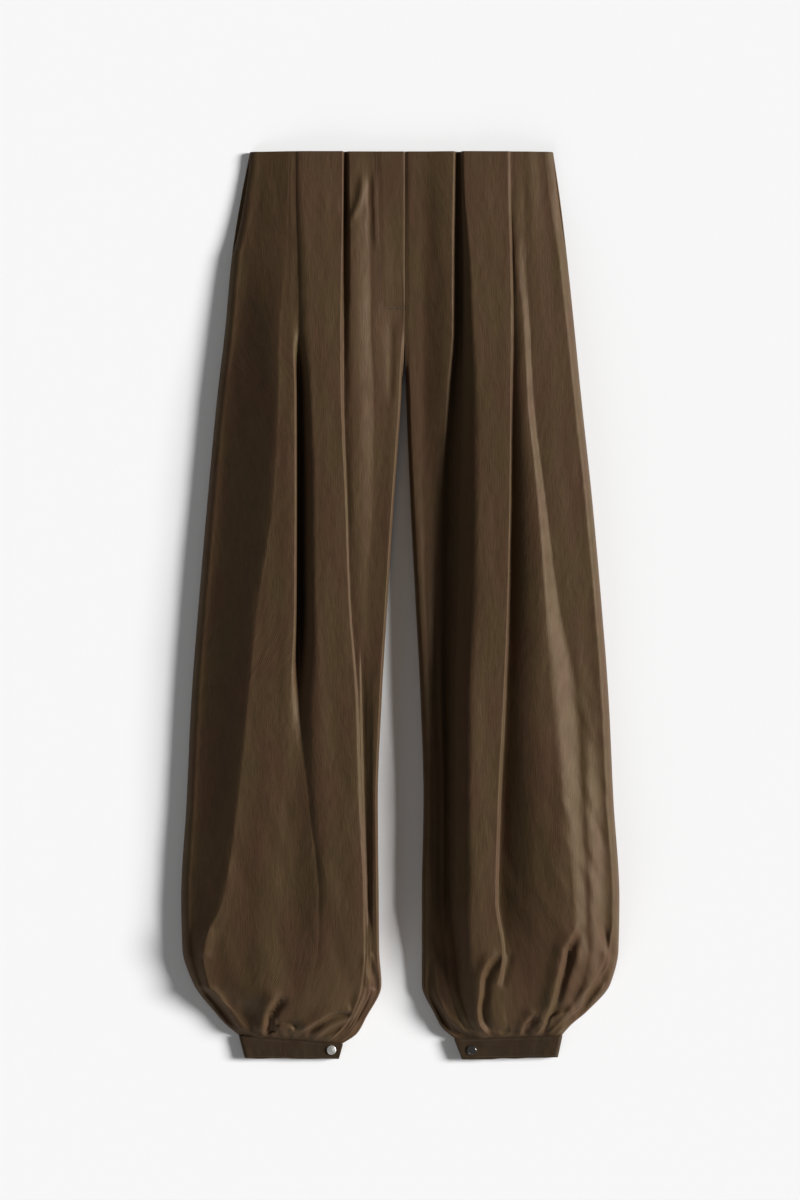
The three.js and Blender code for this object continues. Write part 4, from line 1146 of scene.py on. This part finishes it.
def stitch_row(name, tree, lines, material):
    """Stitches along lines of points in millimetres, as one plain mesh."""
    vertices = []
    edges = []
    for line in lines:
        first = len(vertices)
        vertices.extend((np.array(line) * MM).tolist())
        edges.extend((first + i, first + i + 1) for i in range(len(line) - 1))
    mesh = bpy.data.meshes.new(name + "_line")
    mesh.from_pydata(vertices, edges, [])
    guide = bpy.data.objects.new(name + "_line", mesh)
    bpy.context.scene.collection.objects.link(guide)
    modifier = guide.modifiers.new("stitches", "NODES")
    modifier.node_group = tree
    values = {
        "Step": STITCH["step"] * MM, "Stitch": STITCH["length"] * MM,
        "Thread": STITCH["thread"] * MM, "Finish": material, "Seed": STITCH["seed"],
    }
    for item in tree.interface.items_tree:
        if item.in_out == "INPUT" and item.name in values:
            modifier[item.identifier] = values[item.name]
    depsgraph = bpy.context.evaluated_depsgraph_get()
    made = bpy.data.meshes.new_from_object(guide.evaluated_get(depsgraph))
    made.name = name
    guide.modifiers.remove(modifier)
    bpy.data.objects.remove(guide)
    bpy.data.meshes.remove(mesh)
    piece = bpy.data.objects.new(name, made)
    bpy.context.scene.collection.objects.link(piece)
    return piece


def fly_stitches(leg):
    """The J-shaped row on the fly, then two bar tacks at its foot."""
    length = FLY["length"]
    inset = STITCH_INSET
    straight = np.linspace(2, length - FLY_TURN, 60)
    angle = np.linspace(0, math.pi / 2, 16)[1:]
    share = np.linspace(0, 1, 16)[1:]
    turned = length - FLY_TURN + FLY_TURN * np.sin(angle) - inset * share**2
    downs = np.concatenate([straight, turned])
    xs = leg.inner(downs) - fly_width(np.minimum(downs, length)) + inset
    foot = np.linspace(xs[-1], leg.inner(downs[-1]) - 1.2, 14)[1:]
    xs = np.concatenate([xs, foot])
    downs = np.concatenate([downs, np.full(len(foot), downs[-1])])
    lines = [lay_on_front(leg, xs, downs, FLY["edge"] + THREAD_LIFT["fly"])]
    half = BAR_TACK["half"]
    for across in BAR_TACKS:
        bar = np.linspace(across - half, across + half, BAR_TACK["points"])
        for shift in BAR_TACK["rows"]:
            bar_downs = np.full(BAR_TACK["points"], length - BAR_TACK["up"] + shift)
            lift = FLY["centre"] + THREAD_LIFT["bar"]
            lines.append(lay_on_front(leg, bar, bar_downs, lift))
    return lines


def lay_on_front(leg, xs, downs, lift):
    heights, _ = height_over(leg, xs[:, None], downs)
    return np.stack([xs, WAIST_Y - downs, heights[:, 0] + lift], axis=-1)


def cuff_stitches(leg):
    """One row along the cuff's hem and one along its top edge."""
    across = np.linspace(*CUFF_STITCH_ENDS, 70)
    rows = cuff_places(leg, np.array(CUFF_STITCH_ROWS), across)
    level = np.full(rows.shape[:2], CUFF_HEIGHT + THREAD_LIFT["cuff"])
    return list(np.stack([rows[..., 0], WAIST_Y - rows[..., 1], level], axis=-1))


def add_light():
    world = bpy.data.worlds.new("studio")
    bpy.context.scene.world = world
    world.use_nodes = True
    background = world.node_tree.nodes["Background"]
    background.inputs["Color"].default_value = (1, 1, 1, 1)
    background.inputs["Strength"].default_value = FILL
    for name, energy, elevation, turn, spread in LAMPS:
        light = bpy.data.lights.new(name, "SUN")
        light.energy = energy
        light.angle = math.radians(spread)
        lamp = bpy.data.objects.new(name, light)
        lamp.rotation_euler = (0, math.radians(90 - elevation), math.radians(turn))
        bpy.context.scene.collection.objects.link(lamp)


def add_floor():
    half = FLOOR_HALF
    mesh = bpy.data.meshes.new("floor")
    around = ((-half, -half), (half, -half), (half, half), (-half, half))
    corners = [(x, y, FLOOR_LEVEL) for x, y in around]
    mesh.from_pydata(corners, [], [(0, 1, 2, 3)])
    floor = bpy.data.objects.new("floor", mesh)
    mesh.materials.append(floor_finish())
    bpy.context.scene.collection.objects.link(floor)


def add_camera():
    """Straight above the trousers, the waist towards the top of the picture."""
    data = bpy.data.cameras.new("camera")
    data.sensor_width = 36
    data.lens = data.sensor_width * MM * CAMERA_HEIGHT / (VIEW_LENGTH * MM) / MM
    camera = bpy.data.objects.new("camera", data)
    camera.location = (VIEW_CENTRE[0] * MM, VIEW_CENTRE[1] * MM, CAMERA_HEIGHT)
    bpy.context.scene.collection.objects.link(camera)
    bpy.context.scene.camera = camera


# The radiance of the fill from all round, then the two lamps
FILL = 0.11
LAMPS = [
    # name, irradiance across its beam, then its elevation, turn and spread in degrees
    ("key", 6.3, 25, 8, 17),
    ("low_fill", 0.75, 20, 238, 40),
]

FLOOR_HALF = 60.0  # metres
FLOOR_LEVEL = -0.0004

CAMERA_HEIGHT = 5.0  # metres
VIEW_LENGTH = 1405.5  # the picture's height
VIEW_CENTRE = (-0.3, 6.4)

OLIVE = (0.067, 0.0408, 0.0185)
BROWN = (0.069, 0.0352, 0.0195)
DEEP = (0.034, 0.021, 0.010)
CUFF_OLIVE = (0.028, 0.0172, 0.0092)
CUFF_BROWN = (0.030, 0.0157, 0.0092)


def dress(piece, material, slot, *nodes):
    """Gives a piece its finish and body, and hides the solids that it stands for."""
    piece.data.materials.clear()
    piece.data.materials.append(material)
    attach(piece, "root")
    if nodes:
        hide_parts(*nodes)
    return piece


left_leg = Leg(
    "left", LEFT_LINES, LEFT_ACROSS, LEFT_HEIGHT, LEFT_FOLDS, LEFT_GATHERS, LEFT_CUFF
)
right_leg = Leg(
    "right", RIGHT_LINES, RIGHT_ACROSS, RIGHT_HEIGHT, RIGHT_FOLDS, RIGHT_GATHERS, RIGHT_CUFF
)
legs = (left_leg, right_leg)

cloth = cloth_finish("trouser_cloth", OLIVE, BROWN, DEEP)
cuff_cloth = cloth_finish("cuff_cloth", CUFF_OLIVE, CUFF_BROWN, DEEP)
thread = thread_finish("sewing_thread", (0.09, 0.062, 0.036), (0.05, 0.034, 0.02))

add_camera()
add_light()
add_floor()

stitches = stitch_tree()
for leg in legs:
    side = leg.name
    dress(front_panel(leg), cloth, "cloth", f"front_{side}")
    dress(back_panel(leg), cloth, "cloth", f"back_{side}")
    dress(cuff_band(leg), cuff_cloth, "cloth", f"cuff_{side}")
    dress(pocket_panel(leg), cloth, "cloth", f"pocket_{side}")
    hem = stitch_row(f"cuff_stitches_{side}", stitches, cuff_stitches(leg), thread)
    dress(hem, thread, "cloth")
dress(fly_panel(left_leg), cloth, "cloth", "fly")
j_row = stitch_row("fly_stitches", stitches, fly_stitches(left_leg), thread)
dress(j_row, thread, "cloth")

# The right cap's dark grey colour is painted reflection: both caps are the same metal, and the
# right one is darkened to stand in for the dark surroundings that its smooth dome mirrors. The left
# cap's pale colour is the metal's own.
SNAP_LOOKS = {
    "left": {"rings": 1.0, "colour": (0.84, 0.82, 0.79), "roughness": 0.42, "relief": 0.6},
    "right": {"rings": 0.0, "colour": (0.30, 0.29, 0.28), "roughness": 0.08, "relief": 0.1},
}
for side, (across, down) in SNAPS.items():
    look = SNAP_LOOKS[side]
    centre = (across * MM, (WAIST_Y - down) * MM, CUFF_HEIGHT * MM)
    metal = metal_finish(
        f"snap_metal_{side}", centre, look["colour"], look["roughness"], look["relief"]
    )
    cap = snap_cap(f"snap_cap_{side}", across, down, cap_profile(look["rings"]))
    dress(cap, metal, "snap_metal", f"snap_{side}")

bpy.context.scene.view_settings.view_transform = "Standard"
